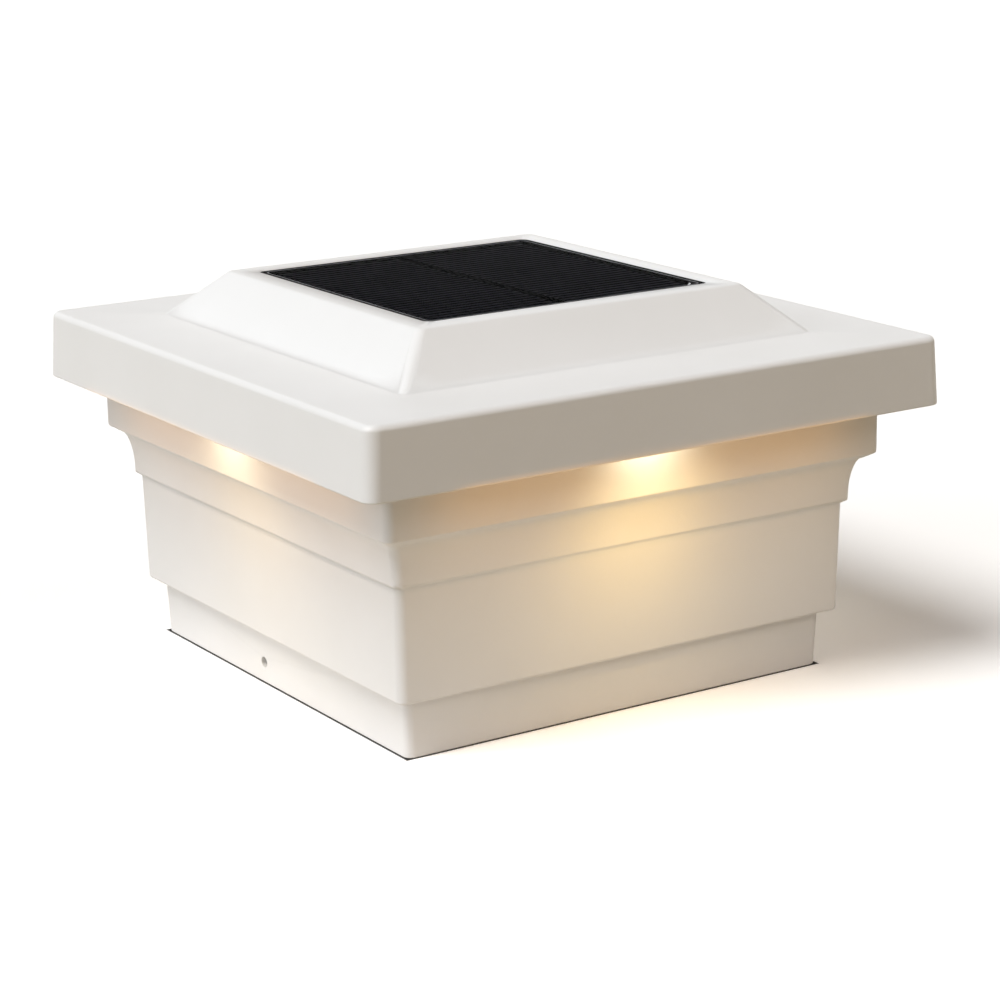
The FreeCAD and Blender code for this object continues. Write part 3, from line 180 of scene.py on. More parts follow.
finishLooks = {
    "cover_white": {
        "colours": ((0.845, 0.842, 0.83), (0.875, 0.873, 0.865)),
        "cloudScale": 18, "glossScale": 45, "grainScale": 1300,
        "roughness": (0.36, 0.46), "grainDepth": 0.000012,
    },
    "trim_white": {
        "colours": ((0.84, 0.832, 0.812), (0.87, 0.863, 0.848)),
        "cloudScale": 20, "glossScale": 50, "grainScale": 1200,
        "roughness": (0.4, 0.5), "grainDepth": 0.000014,
    },
    # The cells' own colour is near-black; here it is painted lighter to stand in for the light that the
    # glass keeps from them.
    "cell_blue_black": {
        "colours": ((0.08, 0.083, 0.11), (0.1, 0.104, 0.136)),
        "cloudScale": 60, "glossScale": 300, "grainScale": 2600,
        "roughness": (0.4, 0.55), "grainDepth": 0.000004,
        "fixed": {"Specular IOR Level": 0.35, "Specular Tint": (0.82, 0.84, 1.0, 1)},
    },
    "panel_black": {
        "colours": ((0.0015, 0.0015, 0.002), (0.003, 0.003, 0.0035)),
        "cloudScale": 90, "glossScale": 240, "grainScale": 1500,
        "roughness": (0.4, 0.55), "grainDepth": 0.000006,
        "fixed": {"Specular IOR Level": 0.0},
    },
    "board_green": {
        "colours": ((0.012, 0.085, 0.035), (0.02, 0.12, 0.05)),
        "cloudScale": 120, "glossScale": 200, "grainScale": 2400,
        "roughness": (0.25, 0.4), "grainDepth": 0.000008,
    },
    "board_white": {
        "colours": ((0.72, 0.72, 0.70), (0.80, 0.80, 0.78)),
        "cloudScale": 110, "glossScale": 200, "grainScale": 2400,
        "roughness": (0.3, 0.45), "grainDepth": 0.000008,
    },
    "foam_black": {
        "colours": ((0.014, 0.014, 0.015), (0.035, 0.035, 0.036)),
        "cloudScale": 900, "glossScale": 400, "grainScale": 1500,
        "roughness": (0.8, 0.95), "grainDepth": 0.0001,
    },
    "rubber_black": {
        "colours": ((0.018, 0.018, 0.019), (0.034, 0.034, 0.034)),
        "cloudScale": 160, "glossScale": 220, "grainScale": 1600,
        "roughness": (0.6, 0.8), "grainDepth": 0.00003,
    },
    "chassis_grey": {
        "colours": ((0.34, 0.345, 0.34), (0.42, 0.425, 0.415)),
        "cloudScale": 35, "glossScale": 90, "grainScale": 1100,
        "roughness": (0.45, 0.6), "grainDepth": 0.00002,
    },
    "steel_zinc": {
        "colours": ((0.56, 0.56, 0.54), (0.72, 0.73, 0.72)),
        "cloudScale": 500, "glossScale": 700, "grainScale": 2500,
        "roughness": (0.22, 0.4), "grainDepth": 0.000006,
        "fixed": {"Metallic": 1.0},
    },
    "spring_steel": {
        "colours": ((0.62, 0.61, 0.58), (0.78, 0.77, 0.74)),
        "cloudScale": 400, "glossScale": 600, "grainScale": 2000,
        "roughness": (0.15, 0.3), "grainDepth": 0.000004,
        "fixed": {"Metallic": 1.0},
    },
    "cell_wrap": {
        "colours": ((0.02, 0.075, 0.28), (0.03, 0.1, 0.36)),
        "cloudScale": 80, "glossScale": 150, "grainScale": 900,
        "roughness": (0.18, 0.3), "grainDepth": 0.00001,
    },
    "chip_black": {
        "colours": ((0.02, 0.02, 0.021), (0.04, 0.04, 0.041)),
        "cloudScale": 700, "glossScale": 500, "grainScale": 3500,
        "roughness": (0.5, 0.7), "grainDepth": 0.00001,
    },
    "coil_dark": {
        "colours": ((0.06, 0.055, 0.05), (0.1, 0.095, 0.09)),
        "cloudScale": 600, "glossScale": 500, "grainScale": 2600,
        "roughness": (0.6, 0.8), "grainDepth": 0.00002,
    },
    "can_silver": {
        "colours": ((0.66, 0.67, 0.68), (0.78, 0.79, 0.8)),
        "cloudScale": 300, "glossScale": 500, "grainScale": 2200,
        "roughness": (0.2, 0.34), "grainDepth": 0.000004,
        "fixed": {"Metallic": 1.0},
    },
    "socket_cream": {
        "colours": ((0.66, 0.62, 0.5), (0.74, 0.7, 0.58)),
        "cloudScale": 200, "glossScale": 300, "grainScale": 1800,
        "roughness": (0.35, 0.5), "grainDepth": 0.000012,
    },
    "lead_black": {
        "colours": ((0.014, 0.014, 0.015), (0.024, 0.024, 0.025)),
        "cloudScale": 300, "glossScale": 500, "grainScale": 2000,
        "roughness": (0.35, 0.5), "grainDepth": 0.00001,
    },
    "lead_red": {
        "colours": ((0.42, 0.012, 0.01), (0.52, 0.02, 0.015)),
        "cloudScale": 300, "glossScale": 500, "grainScale": 2000,
        "roughness": (0.35, 0.5), "grainDepth": 0.00001,
    },
    "lamp_yellow": {
        "colours": ((0.8, 0.5, 0.08), (0.9, 0.62, 0.12)),
        "cloudScale": 600, "glossScale": 600, "grainScale": 2600,
        "roughness": (0.4, 0.55), "grainDepth": 0.00001,
        "fixed": {"Emission Color": (1.0, 0.78, 0.42, 1), "Emission Strength": 6.0},
    },
    "switch_black": {
        "colours": ((0.02, 0.02, 0.022), (0.035, 0.035, 0.037)),
        "cloudScale": 250, "glossScale": 300, "grainScale": 1500,
        "roughness": (0.45, 0.6), "grainDepth": 0.00002,
    },
    "panel_glass": {
        "colours": ((0.93, 0.94, 0.95), (0.97, 0.975, 0.98)),
        "cloudScale": 40, "glossScale": 60, "grainScale": 900,
        "roughness": (0.05, 0.12), "grainDepth": 0.000001,
        "fixed": {"Transmission Weight": 1.0, "IOR": 1.0095},
    },
    "lens_clear": {
        "colours": ((0.95, 0.94, 0.92), (0.99, 0.985, 0.97)),
        "cloudScale": 300, "glossScale": 400, "grainScale": 1500,
        "roughness": (0.1, 0.2), "grainDepth": 0.000002,
        "fixed": {
            "Transmission Weight": 0.8, "IOR": 1.49,
            "Emission Color": (1.0, 0.8, 0.48, 1), "Emission Strength": 1.2,
        },
    },
    "cell_line": {
        "colours": ((0.002, 0.002, 0.003), (0.005, 0.005, 0.007)),
        "cloudScale": 90, "glossScale": 300, "grainScale": 2600,
        "roughness": (0.4, 0.55), "grainDepth": 0.000004,
        "fixed": {"Specular IOR Level": 0.0},
    },
    # A painted highlight: this pale line round the panel's border stands in for the light on the glass's
    # edge.
    "painted_edge_highlight": {
        "colours": ((0.05, 0.05, 0.055), (0.09, 0.09, 0.095)),
        "cloudScale": 200, "glossScale": 300, "grainScale": 2600,
        "roughness": (0.35, 0.5), "grainDepth": 0.000004,
        "fixed": {"Specular IOR Level": 0.3},
    },
    "solder": {
        "colours": ((0.7, 0.71, 0.72), (0.84, 0.85, 0.86)),
        "cloudScale": 500, "glossScale": 700, "grainScale": 2400,
        "roughness": (0.18, 0.34), "grainDepth": 0.00001,
        "fixed": {"Metallic": 0.85},
    },
    "track_green": {
        "colours": ((0.02, 0.15, 0.06), (0.035, 0.2, 0.085)),
        "cloudScale": 150, "glossScale": 220, "grainScale": 2400,
        "roughness": (0.22, 0.36), "grainDepth": 0.000008,
    },
}

finishes = {name: surfaceFinish(name, look) for name, look in finishLooks.items()}
for node in nodes.values():
    for slot in node.material_slots:
        slot.material = finishes[slot.material.name.split(".")[0]]
print("finishes:", len(finishes))


def linkMesh(name, mesh, body):
    piece = bpy.data.objects.new(name, mesh)
    bpy.context.scene.collection.objects.link(piece)
    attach(piece, body)
    return piece


# A merged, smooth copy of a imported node, flat on its faces and soft on its rounded edges.
def smoothShell(name, nodeName, slotName, look):
    mesh = nodes[nodeName].data.copy()
    mesh.name = name
    shape = bmesh.new()
    shape.from_mesh(mesh)
    bmesh.ops.remove_doubles(shape, verts=shape.verts, dist=look["mergeGap"])
    bmesh.ops.dissolve_degenerate(shape, edges=shape.edges, dist=look["shortestEdge"])
    bmesh.ops.recalc_face_normals(shape, faces=shape.faces)
    shape.to_mesh(mesh)
    shape.free()
    mesh.materials.clear()
    mesh.materials.append(finishes[slotName])
    mesh.shade_smooth()
    mesh.set_sharp_from_angle(angle=math.radians(look["sharpAngle"]))
    piece = linkMesh(name, mesh, "housing")
    weighted = piece.modifiers.new("faceWeights", "WEIGHTED_NORMAL")
    weighted.keep_sharp = True
    weighted.weight = look["flatWeight"]
    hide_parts(nodeName)


shellLook = {"sharpAngle": 32, "mergeGap": 0.000002, "shortestEdge": 0.000001, "flatWeight": 100}
smoothShell("cover_shell", "top_cover", "cover_white", shellLook)
smoothShell("sleeve_shell", "post_trim", "trim_white", shellLook)
print("shells: cover and sleeve")


# How finely the round shapes below are divided. Each is one metre wide before it is scaled.
shapeLook = {"ballSegments": 14, "ballRings": 8, "rodSides": 20, "radius": 0.5}


def blockShape(tree, size):
    cube = addNode(tree, "GeometryNodeMeshCube")
    tree.links.new(size, cube.inputs["Size"])
    return cube.outputs["Mesh"]


def domeShape(tree, size):
    ball = addNode(tree, "GeometryNodeMeshUVSphere")
    ball.inputs["Segments"].default_value = shapeLook["ballSegments"]
    ball.inputs["Rings"].default_value = shapeLook["ballRings"]
    ball.inputs["Radius"].default_value = shapeLook["radius"]
    flattened = addNode(tree, "GeometryNodeTransform")
    tree.links.new(ball.outputs["Mesh"], flattened.inputs["Geometry"])
    tree.links.new(size, flattened.inputs["Scale"])
    smooth = addNode(tree, "GeometryNodeSetShadeSmooth")
    tree.links.new(flattened.outputs["Geometry"], smooth.inputs["Geometry"])
    return smooth.outputs["Geometry"]


# A rod with an oval section, lying along Y.
def ribShape(tree, size):
    rod = addNode(tree, "GeometryNodeMeshCylinder")
    rod.inputs["Vertices"].default_value = shapeLook["rodSides"]
    rod.inputs["Radius"].default_value = shapeLook["radius"]
    rod.inputs["Depth"].default_value = shapeLook["radius"] * 2
    lying = addNode(tree, "GeometryNodeTransform")
    lying.inputs["Rotation"].default_value = (math.pi / 2, 0, 0)
    tree.links.new(rod.outputs["Mesh"], lying.inputs["Geometry"])
    shaped = addNode(tree, "GeometryNodeTransform")
    tree.links.new(lying.outputs["Geometry"], shaped.inputs["Geometry"])
    tree.links.new(size, shaped.inputs["Scale"])
    return shaped.outputs["Geometry"]


# A tree that sets one shape out in columns along X and rows along Y about a middle.
def makeRowsTree(name, shape):
    tree = bpy.data.node_groups.new(name, "GeometryNodeTree")
    sockets = {}
    for label, kind in (
        ("Columns", "Int"), ("Rows", "Int"), ("Column Spacing", "Float"), ("Row Spacing", "Float"),
        ("Size", "Vector"), ("Middle", "Vector"), ("Finish", "Material"),
    ):
        socket = tree.interface.new_socket(name=label, in_out="INPUT", socket_type=f"NodeSocket{kind}")
        sockets[label] = socket.identifier
    tree.interface.new_socket(name="Geometry", in_out="OUTPUT", socket_type="NodeSocketGeometry")
    given = addNode(tree, "NodeGroupInput").outputs
    grid = addNode(tree, "GeometryNodeMeshGrid")
    for count, spacing, vertices, extent in (
        ("Columns", "Column Spacing", "Vertices X", "Size X"),
        ("Rows", "Row Spacing", "Vertices Y", "Size Y"),
    ):
        gaps = addNode(tree, "ShaderNodeMath", operation="SUBTRACT")
        gaps.inputs[1].default_value = 1
        tree.links.new(given[count], gaps.inputs[0])
        reach = addNode(tree, "ShaderNodeMath", operation="MULTIPLY")
        tree.links.new(gaps.outputs[0], reach.inputs[0])
        tree.links.new(given[spacing], reach.inputs[1])
        tree.links.new(given[count], grid.inputs[vertices])
        tree.links.new(reach.outputs[0], grid.inputs[extent])
    placed = addNode(tree, "GeometryNodeInstanceOnPoints")
    tree.links.new(grid.outputs["Mesh"], placed.inputs["Points"])
    tree.links.new(shape(tree, given["Size"]), placed.inputs["Instance"])
    moved = addNode(tree, "GeometryNodeTransform")
    tree.links.new(placed.outputs["Instances"], moved.inputs["Geometry"])
    tree.links.new(given["Middle"], moved.inputs["Translation"])
    real = addNode(tree, "GeometryNodeRealizeInstances")
    tree.links.new(moved.outputs["Geometry"], real.inputs["Geometry"])
    painted = addNode(tree, "GeometryNodeSetMaterial")
    tree.links.new(real.outputs["Geometry"], painted.inputs["Geometry"])
    tree.links.new(given["Finish"], painted.inputs["Material"])
    output = addNode(tree, "NodeGroupOutput")
    tree.links.new(painted.outputs["Geometry"], output.inputs["Geometry"])
    return tree, sockets


rowTrees = {
    "block": makeRowsTree("blockRows", blockShape),
    "dome": makeRowsTree("domeRows", domeShape),
    "rib": makeRowsTree("ribRows", ribShape),
}


def growRows(kind, columns, rows, spacing, size, middle, finish):
    tree, sockets = rowTrees[kind]
    seed = bpy.data.objects.new("seed", bpy.data.meshes.new("seed"))
    bpy.context.scene.collection.objects.link(seed)
    grown = seed.modifiers.new("rows", "NODES")
    grown.node_group = tree
    values = {
        "Columns": columns, "Rows": rows, "Column Spacing": spacing[0], "Row Spacing": spacing[1],
        "Size": size, "Middle": middle, "Finish": finish,
    }
    for label, value in values.items():
        grown[sockets[label]] = value
    evaluated = seed.evaluated_get(bpy.context.evaluated_depsgraph_get())
    mesh = bpy.data.meshes.new_from_object(evaluated)
    seed.modifiers.remove(grown)
    bpy.data.objects.remove(seed)
    return mesh


# Several meshes as one piece.
def joinMeshes(name, meshes):
    shape = bmesh.new()
    for mesh in meshes:
        shape.from_mesh(mesh)
    joined = bpy.data.meshes.new(name)
    shape.to_mesh(joined)
    shape.free()
    joined.materials.append(meshes[0].materials[0])
    return joined


# The outline of a square with round corners.
def squareOutline(half, radius, cornerSteps):
    middle = half - radius
    points = []
    for index, (xSide, ySide) in enumerate(((1, 1), (-1, 1), (-1, -1), (1, -1))):
        for step in range(cornerSteps + 1):
            turn = math.radians(90 * index + 90 * step / cornerSteps)
            points.append((
                middle * xSide + radius * math.cos(turn), middle * ySide + radius * math.sin(turn),
            ))
    return points


# A flat ring between two such squares, with a small thickness.
def squareRing(name, half, width, look, level, thickness, finish):
    corner = look["outlineCorner"]
    outer = squareOutline(half, corner, look["cornerSteps"])
    inner = squareOutline(half - width, corner - width, look["cornerSteps"])
    count = len(outer)
    vertices = []
    for z in (level, level + thickness):
        vertices += [(x, y, z) for x, y in outer + inner]
    faces = []
    for index in range(count):
        after = (index + 1) % count
        a, b = index, after
        c, d = index + count, after + count
        top = count * 2
        faces.append((a + top, b + top, d + top, c + top))
        faces.append((a, c, d, b))
        faces.append((a, b, b + top, a + top))
        faces.append((c, c + top, d + top, d))
    mesh = bpy.data.meshes.new(name)
    mesh.from_pydata(vertices, [], faces)
    mesh.materials.append(finish)
    return mesh


# Fine dark lines across the two halves of the solar cell, a thin pale line round the border that is a
# painted highlight of the glass's edge, the glass's blackened edge, and the solder tab that shows in one
# corner.
panelLook = {
    "lineCount": 29,
    "linePitch": 0.0028,
    "lineSize": (0.0397, 0.0012, 0.00004),
    "outlineHalf": 0.0441,
    "outlineWidth": 0.0004,
    "outlineCorner": 0.0022,
    "cornerSteps": 8,
    "outlineRise": 0.00004,
    "outlineDepth": 0.0001,
    "edgeWidth": 0.0005,
    "edgeGap": 0.00002,
    "tabMiddle": (0.0428, -0.0402),
    "tabSize": (0.0034, 0.0008, 0.00012),
    "tabTurn": 45,
}


def makePanelDetail(look):
    low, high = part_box("solar_cell_left")
    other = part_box("solar_cell_right")[1]
    across = other.x - high.x
    middle = ((low.x + other.x) / 2, 0, high.z)
    lines = growRows(
        "block", 2, look["lineCount"], (across, look["linePitch"]), look["lineSize"],
        middle, finishes["cell_line"],
    )
    linkMesh("cell_lines", lines, "housing")
    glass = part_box("panel_glass")[1]
    # The pale line round the border is a painted highlight of the glass's edge.
    outline = squareRing(
        "painted_glass_edge_highlight", look["outlineHalf"], look["outlineWidth"], look,
        glass.z - look["outlineDepth"], look["outlineRise"], finishes["painted_edge_highlight"],
    )
    linkMesh("painted_glass_edge_highlight", outline, "housing")
    gap = look["edgeGap"]
    edge = squareRing(
        "panel_edge", glass.x - gap, look["edgeWidth"], look,
        high.z, glass.z - gap - high.z, finishes["panel_black"],
    )
    linkMesh("panel_edge", edge, "housing")
    tab = growRows(
        "dome", 1, 1, (0, 0), look["tabSize"], (0, 0, high.z), finishes["solder"],
    )
    tab.transform(Matrix.Rotation(math.radians(look["tabTurn"]), 4, "Z"))
    tab.transform(Matrix.Translation((*look["tabMiddle"], 0)))
    linkMesh("panel_tab", tab, "housing")


makePanelDetail(panelLook)
print("panel: lines, outline, edge and tab")


# Ribs for the thumb on the door's free side, and the cell's two poles raised on it.
doorLook = {
    "ribCount": 5,
    "ribPitch": 0.0013,
    "ribSize": (0.0007, 0.011, 0.0007),
    "ribInset": 0.0042,
    "markSize": (0.0042, 0.0009, 0.0005),
    "markInset": 0.009,
    "crossShare": 0.9,
}


def makeDoorDetail(look):
    low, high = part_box("battery_door")
    cellLow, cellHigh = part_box("battery_cell")
    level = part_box("chassis")[0].z
    across = (cellLow.x + cellHigh.x) / 2
    first = high.x - look["ribInset"] - look["ribPitch"] * (look["ribCount"] - 1) / 2
    ribs = growRows(
        "rib", look["ribCount"], 1, (look["ribPitch"], 0), look["ribSize"],
        (first, 0, level), finishes["chassis_grey"],
    )
    linkMesh("door_ribs", ribs, "door")
    length, width, rise = look["markSize"]
    plus = (across, high.y - look["markInset"], level)
    minus = (across, low.y + look["markInset"], level)
    marks = []
    for size, middle in (
        ((length, width, rise), plus), ((width, length, rise * look["crossShare"]), plus),
        ((length, width, rise), minus),
    ):
        marks.append(growRows("block", 1, 1, (0, 0), size, middle, finishes["chassis_grey"]))
    linkMesh("door_marks", joinMeshes("door_marks", marks), "door")


makeDoorDetail(doorLook)
print("door: ribs and pole marks")


# The battery cell as a wrap shrunk over a steel can. Outlines are (radius, distance).
cellLook = {
    "wrap": (
        (0.0056, 0.0001), (0.0064, 0.0), (0.0070, 0.00035), (0.00725, 0.0011), (0.00725, 0.0018),
        (0.00718, 0.0021), (0.00725, 0.0024), (0.00725, 0.0476), (0.0070, 0.0484),
        (0.0064, 0.0489), (0.0056, 0.0490),
    ),
    "can": (
        (0.0, 0.0005), (0.0052, 0.0005), (0.00575, 0.0002), (0.0060, 0.0008), (0.0060, 0.0484),
        (0.0056, 0.0487), (0.0038, 0.0487), (0.0034, 0.0485), (0.0028, 0.0488), (0.0027, 0.0496),
        (0.0026, 0.0503), (0.0022, 0.0505), (0.0, 0.0505),
    ),
    "steps": 64,
    "sharpAngle": 50,
}


# Turns every face of a mesh to look outwards.
def faceOutwards(mesh):
    shape = bmesh.new()
    shape.from_mesh(mesh)
    bmesh.ops.recalc_face_normals(shape, faces=shape.faces)
    shape.to_mesh(mesh)
    shape.free()


# Turns an outline about a line along Y. An outline that starts and ends on it is closed.
def turnedShape(name, outline, look, axis, finish):
    x, foot, z = axis
    steps = look["steps"]
    vertices = []
    rings = []
    for radius, distance in outline:
        if radius == 0:
            vertices.append((x, foot + distance, z))
            rings.append([len(vertices) - 1] * steps)
            continue
        ring = []
        for step in range(steps):
            turn = 2 * math.pi * step / steps
            ring.append(len(vertices))
            vertices.append((x + radius * math.cos(turn), foot + distance, z + radius * math.sin(turn)))
        rings.append(ring)
    faces = []
    for first, second in zip(rings, rings[1:]):
        for step in range(steps):
            after = (step + 1) % steps
            corners = [first[step], second[step], second[after], first[after]]
            faces.append(list(dict.fromkeys(corners)))
    mesh = bpy.data.meshes.new(name)
    mesh.from_pydata(vertices, [], faces)
    faceOutwards(mesh)
    mesh.materials.append(finish)
    mesh.shade_smooth()
    mesh.set_sharp_from_angle(angle=math.radians(look["sharpAngle"]))
    return mesh


def makeCell(look):
    low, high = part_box("battery_cell")
    axis = ((low.x + high.x) / 2, low.y, (low.z + high.z) / 2)
    wrap = turnedShape("cell_wrap", look["wrap"], look, axis, finishes["cell_wrap"])
    wrapPiece = linkMesh("cell_sleeve", wrap, "housing")
    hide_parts("battery_cell")
    can = turnedShape("cell_can", look["can"], look, axis, finishes["can_silver"])
    linkMesh("cell_can", can, "housing")


makeCell(cellLook)
print("cell: wrap and can")


# Pins, joints and tracks on the boards.
boardLook = {
    "pinSize": (0.0011, 0.00042, 0.00022),
    "pinPitch": 0.00127,
    "pinCount": 4,
    "jointSize": (0.0017, 0.0017, 0.0011),
    "jointPitch": 0.00254,
    "trackSize": (0.0009, 0.0145, 0.00008),
    "trackPitch": 0.0021,
    "trackCount": 5,
    "lampJointSize": (0.0016, 0.0013, 0.0006),
    "lampJointGap": 0.0026,
    "lampJointInset": 0.0026,
    "pinShare": 0.6,
    "jointInset": 0.0032,
    "pairOffset": 0.008,
    "trackOffset": 0.0115,
}

sides = ("front", "right", "back", "left")


# The turn that takes something from the front to another side.
def sideTurn(side):
    return Matrix.Rotation(math.radians(90 * sides.index(side)), 4, "Z")


def makeBoardDetail(look):
    low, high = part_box("circuit_board")
    chipLow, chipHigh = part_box("controller_chip")
    middle = (low + high) / 2
    chip = (chipLow + chipHigh) / 2
    reach = chipHigh.x - chipLow.x + look["pinSize"][0] * look["pinShare"]
    pins = growRows(
        "block", 2, look["pinCount"], (reach, look["pinPitch"]), look["pinSize"],
        (chip.x, chip.y, high.z + look["pinSize"][2] / 2), finishes["steel_zinc"],
    )
    linkMesh("chip_pins", pins, "housing")
    edgeX = (high.x - low.x) / 2 - look["jointInset"]
    edgeY = (high.y - low.y) / 2 - look["jointInset"]
    pair = look["pairOffset"]
    joints = []
    for x, y, columns, rows in (
        (0, -edgeY, 2, 1), (edgeX, 0, 1, 2), (pair, edgeY, 2, 1), (-pair, edgeY, 2, 1),
        (-edgeX, -pair, 1, 2), (-edgeX, pair, 1, 2),
    ):
        joints.append(growRows(
            "dome", columns, rows, (look["jointPitch"], look["jointPitch"]), look["jointSize"],
            (middle.x + x, middle.y + y, low.z), finishes["solder"],
        ))
    linkMesh("board_joints", joinMeshes("board_joints", joints), "housing")
    tracks = []
    for level in (low.z, high.z):
        tracks.append(growRows(
            "rib", look["trackCount"], 1, (look["trackPitch"], 0), look["trackSize"],
            (chip.x, chip.y - look["trackOffset"], level), finishes["track_green"],
        ))
    linkMesh("board_tracks", joinMeshes("board_tracks", tracks), "housing")


def makeLampJoints(look):
    joints = []
    for side in sides:
        low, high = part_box(f"{side}_lamp_board")
        middle = (low + high) / 2
        around = sideTurn(side)
        inward = around @ Vector((0, look["lampJointInset"], 0))
        mesh = growRows(
            "dome", 2, 1, (look["lampJointGap"], 0), look["lampJointSize"], (0, 0, 0), finishes["solder"],
        )
        mesh.transform(around)
        mesh.transform(Matrix.Translation((middle.x + inward.x, middle.y + inward.y, low.z)))
        joints.append(mesh)
    linkMesh("lamp_joints", joinMeshes("lamp_joints", joints), "housing")


makeBoardDetail(boardLook)
makeLampJoints(boardLook)
print("boards: pins, joints and tracks")


# A bar and a ring beside the two ends of the switch's slot.
switchLook = {
    "barSize": (0.0028, 0.0007, 0.0004),
    "ringRadius": 0.0014,
    "ringWire": 0.0007,
    "aside": 0.0052,
    "apart": 0.0034,
    "slotMiddle": -0.01,
    "ringSteps": 32,
}


def makeSwitchMarks(look):
    low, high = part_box("switch_slider")
    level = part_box("chassis")[0].z
    x = (low.x + high.x) / 2 + look["aside"]
    y = look["slotMiddle"]
    bar = growRows(
        "block", 1, 1, (0, 0), look["barSize"], (x, y + look["apart"], level), finishes["chassis_grey"],
    )
    steps = look["ringSteps"]
    vertices = []
    faces = []
    for step in range(steps):
        turn = 2 * math.pi * step / steps
        for radius, rise in (
            (look["ringRadius"] - look["ringWire"] / 2, 0), (look["ringRadius"], look["ringWire"] / 2),
            (look["ringRadius"] + look["ringWire"] / 2, 0),
        ):
            vertices.append((
                x + radius * math.cos(turn), y - look["apart"] + radius * math.sin(turn), level - rise,
            ))
        after = (step + 1) % steps
        for strip in (0, 1):
            faces.append((step * 3 + strip, step * 3 + strip + 1, after * 3 + strip + 1, after * 3 + strip))
        faces.append((step * 3 + 2, step * 3, after * 3, after * 3 + 2))
    ring = bpy.data.meshes.new("ring")
    ring.from_pydata(vertices, [], faces)
    ring.materials.append(finishes["chassis_grey"])
    marks = joinMeshes("switch_marks", [bar, ring])
    faceOutwards(marks)
    linkMesh("switch_marks", marks, "housing")


makeSwitchMarks(switchLook)
print("switch: bar and ring")


floorLook = {
    "half": 6.0,
    "shade": 1.3,
    "nearBounce": (0.72, 0.68, 0.64),
    "farBounce": (0.38, 0.3, 0.17),
    "bounceSpan": (0.075, 0.17),
    "lift": 0.01,
    # The painted contact shadow: how dark the seen floor is painted at the sleeve's foot, and the distances
    # over which that painted shade fades out.
    "paintedShadowLevel": 0.03,
    "paintedShadowSpan": (0.0678, 0.0685),
}


# One for what is seen, straight, in a gloss or through glass, and nought for light's own bounces.
def isSeen(tree):
    path = addNode(tree, "ShaderNodeLightPath")
    either = addNode(tree, "ShaderNodeMath", operation="MAXIMUM")
    tree.links.new(path.outputs["Is Camera Ray"], either.inputs[0])
    tree.links.new(path.outputs["Is Glossy Ray"], either.inputs[1])
    every = addNode(tree, "ShaderNodeMath", operation="MAXIMUM")
    tree.links.new(either.outputs[0], every.inputs[0])
    tree.links.new(path.outputs["Is Transmission Ray"], every.inputs[1])
    return every.outputs[0]


# How far a point of the floor is from the middle, square by square.
def squareDistance(tree):
    size = addNode(tree, "ShaderNodeVectorMath", operation="ABSOLUTE")
    tree.links.new(objectCoordinates(tree), size.inputs[0])
    parts = addNode(tree, "ShaderNodeSeparateXYZ")
    tree.links.new(size.outputs["Vector"], parts.inputs["Vector"])
    further = addNode(tree, "ShaderNodeMath", operation="MAXIMUM")
    tree.links.new(parts.outputs["X"], further.inputs[0])
    tree.links.new(parts.outputs["Y"], further.inputs[1])
    return further.outputs[0]


# The floor is white where it is seen, with a painted contact shadow: a thin dark line where the sleeve
# stands on it.
# The light it sends back is darker and warmer further from the middle.
def makeFloor(look):
    half = look["half"]
    mesh = bpy.data.meshes.new("floor")
    corners = [(-half, -half, 0), (half, -half, 0), (half, half, 0), (-half, half, 0)]
    mesh.from_pydata(corners, [], [(0, 1, 2, 3)])
    floor = bpy.data.objects.new("floor", mesh)
    bpy.context.scene.collection.objects.link(floor)
    material = bpy.data.materials.new("floor")
    material.use_nodes = True
    tree = material.node_tree
    tree.nodes.clear()
    seen = isSeen(tree)
    distance = squareDistance(tree)
    # Painted shadow: the seen floor is darkened in a thin band round the sleeve's foot.
    paintedShadow = mapRange(tree, distance, look["paintedShadowLevel"], 1.0, look["paintedShadowSpan"])
    shade = blendColours(tree, paintedShadow, ((0, 0, 0), [look["shade"]] * 3), fullSpan)
    shown = addNode(tree, "ShaderNodeBsdfDiffuse")
    tree.links.new(shade, shown.inputs["Color"])
    lift = addNode(tree, "ShaderNodeEmission")
    lift.inputs["Strength"].default_value = look["lift"]
    tree.links.new(shade, lift.inputs["Color"])
    lifted = addNode(tree, "ShaderNodeAddShader")
    tree.links.new(shown.outputs[0], lifted.inputs[0])
    tree.links.new(lift.outputs[0], lifted.inputs[1])
    bounce = addNode(tree, "ShaderNodeBsdfDiffuse")
    away = mapRange(tree, distance, 0.0, 1.0, look["bounceSpan"])
    tint = blendColours(tree, away, (look["nearBounce"], look["farBounce"]), fullSpan)
    tree.links.new(tint, bounce.inputs["Color"])
    chosen = addNode(tree, "ShaderNodeMixShader")
    tree.links.new(seen, chosen.inputs["Fac"])
    tree.links.new(bounce.outputs[0], chosen.inputs[1])
    tree.links.new(lifted.outputs[0], chosen.inputs[2])
    output = addNode(tree, "ShaderNodeOutputMaterial")
    tree.links.new(chosen.outputs[0], output.inputs["Surface"])
    mesh.materials.append(material)


worldLook = {
    "cool": (0.06, 0.063, 0.066),
    "warm": (0.08, 0.07, 0.06),
    "warmSide": (0.45, -0.89, 0.0),
    "warmSpan": (-0.6, 0.6),
}


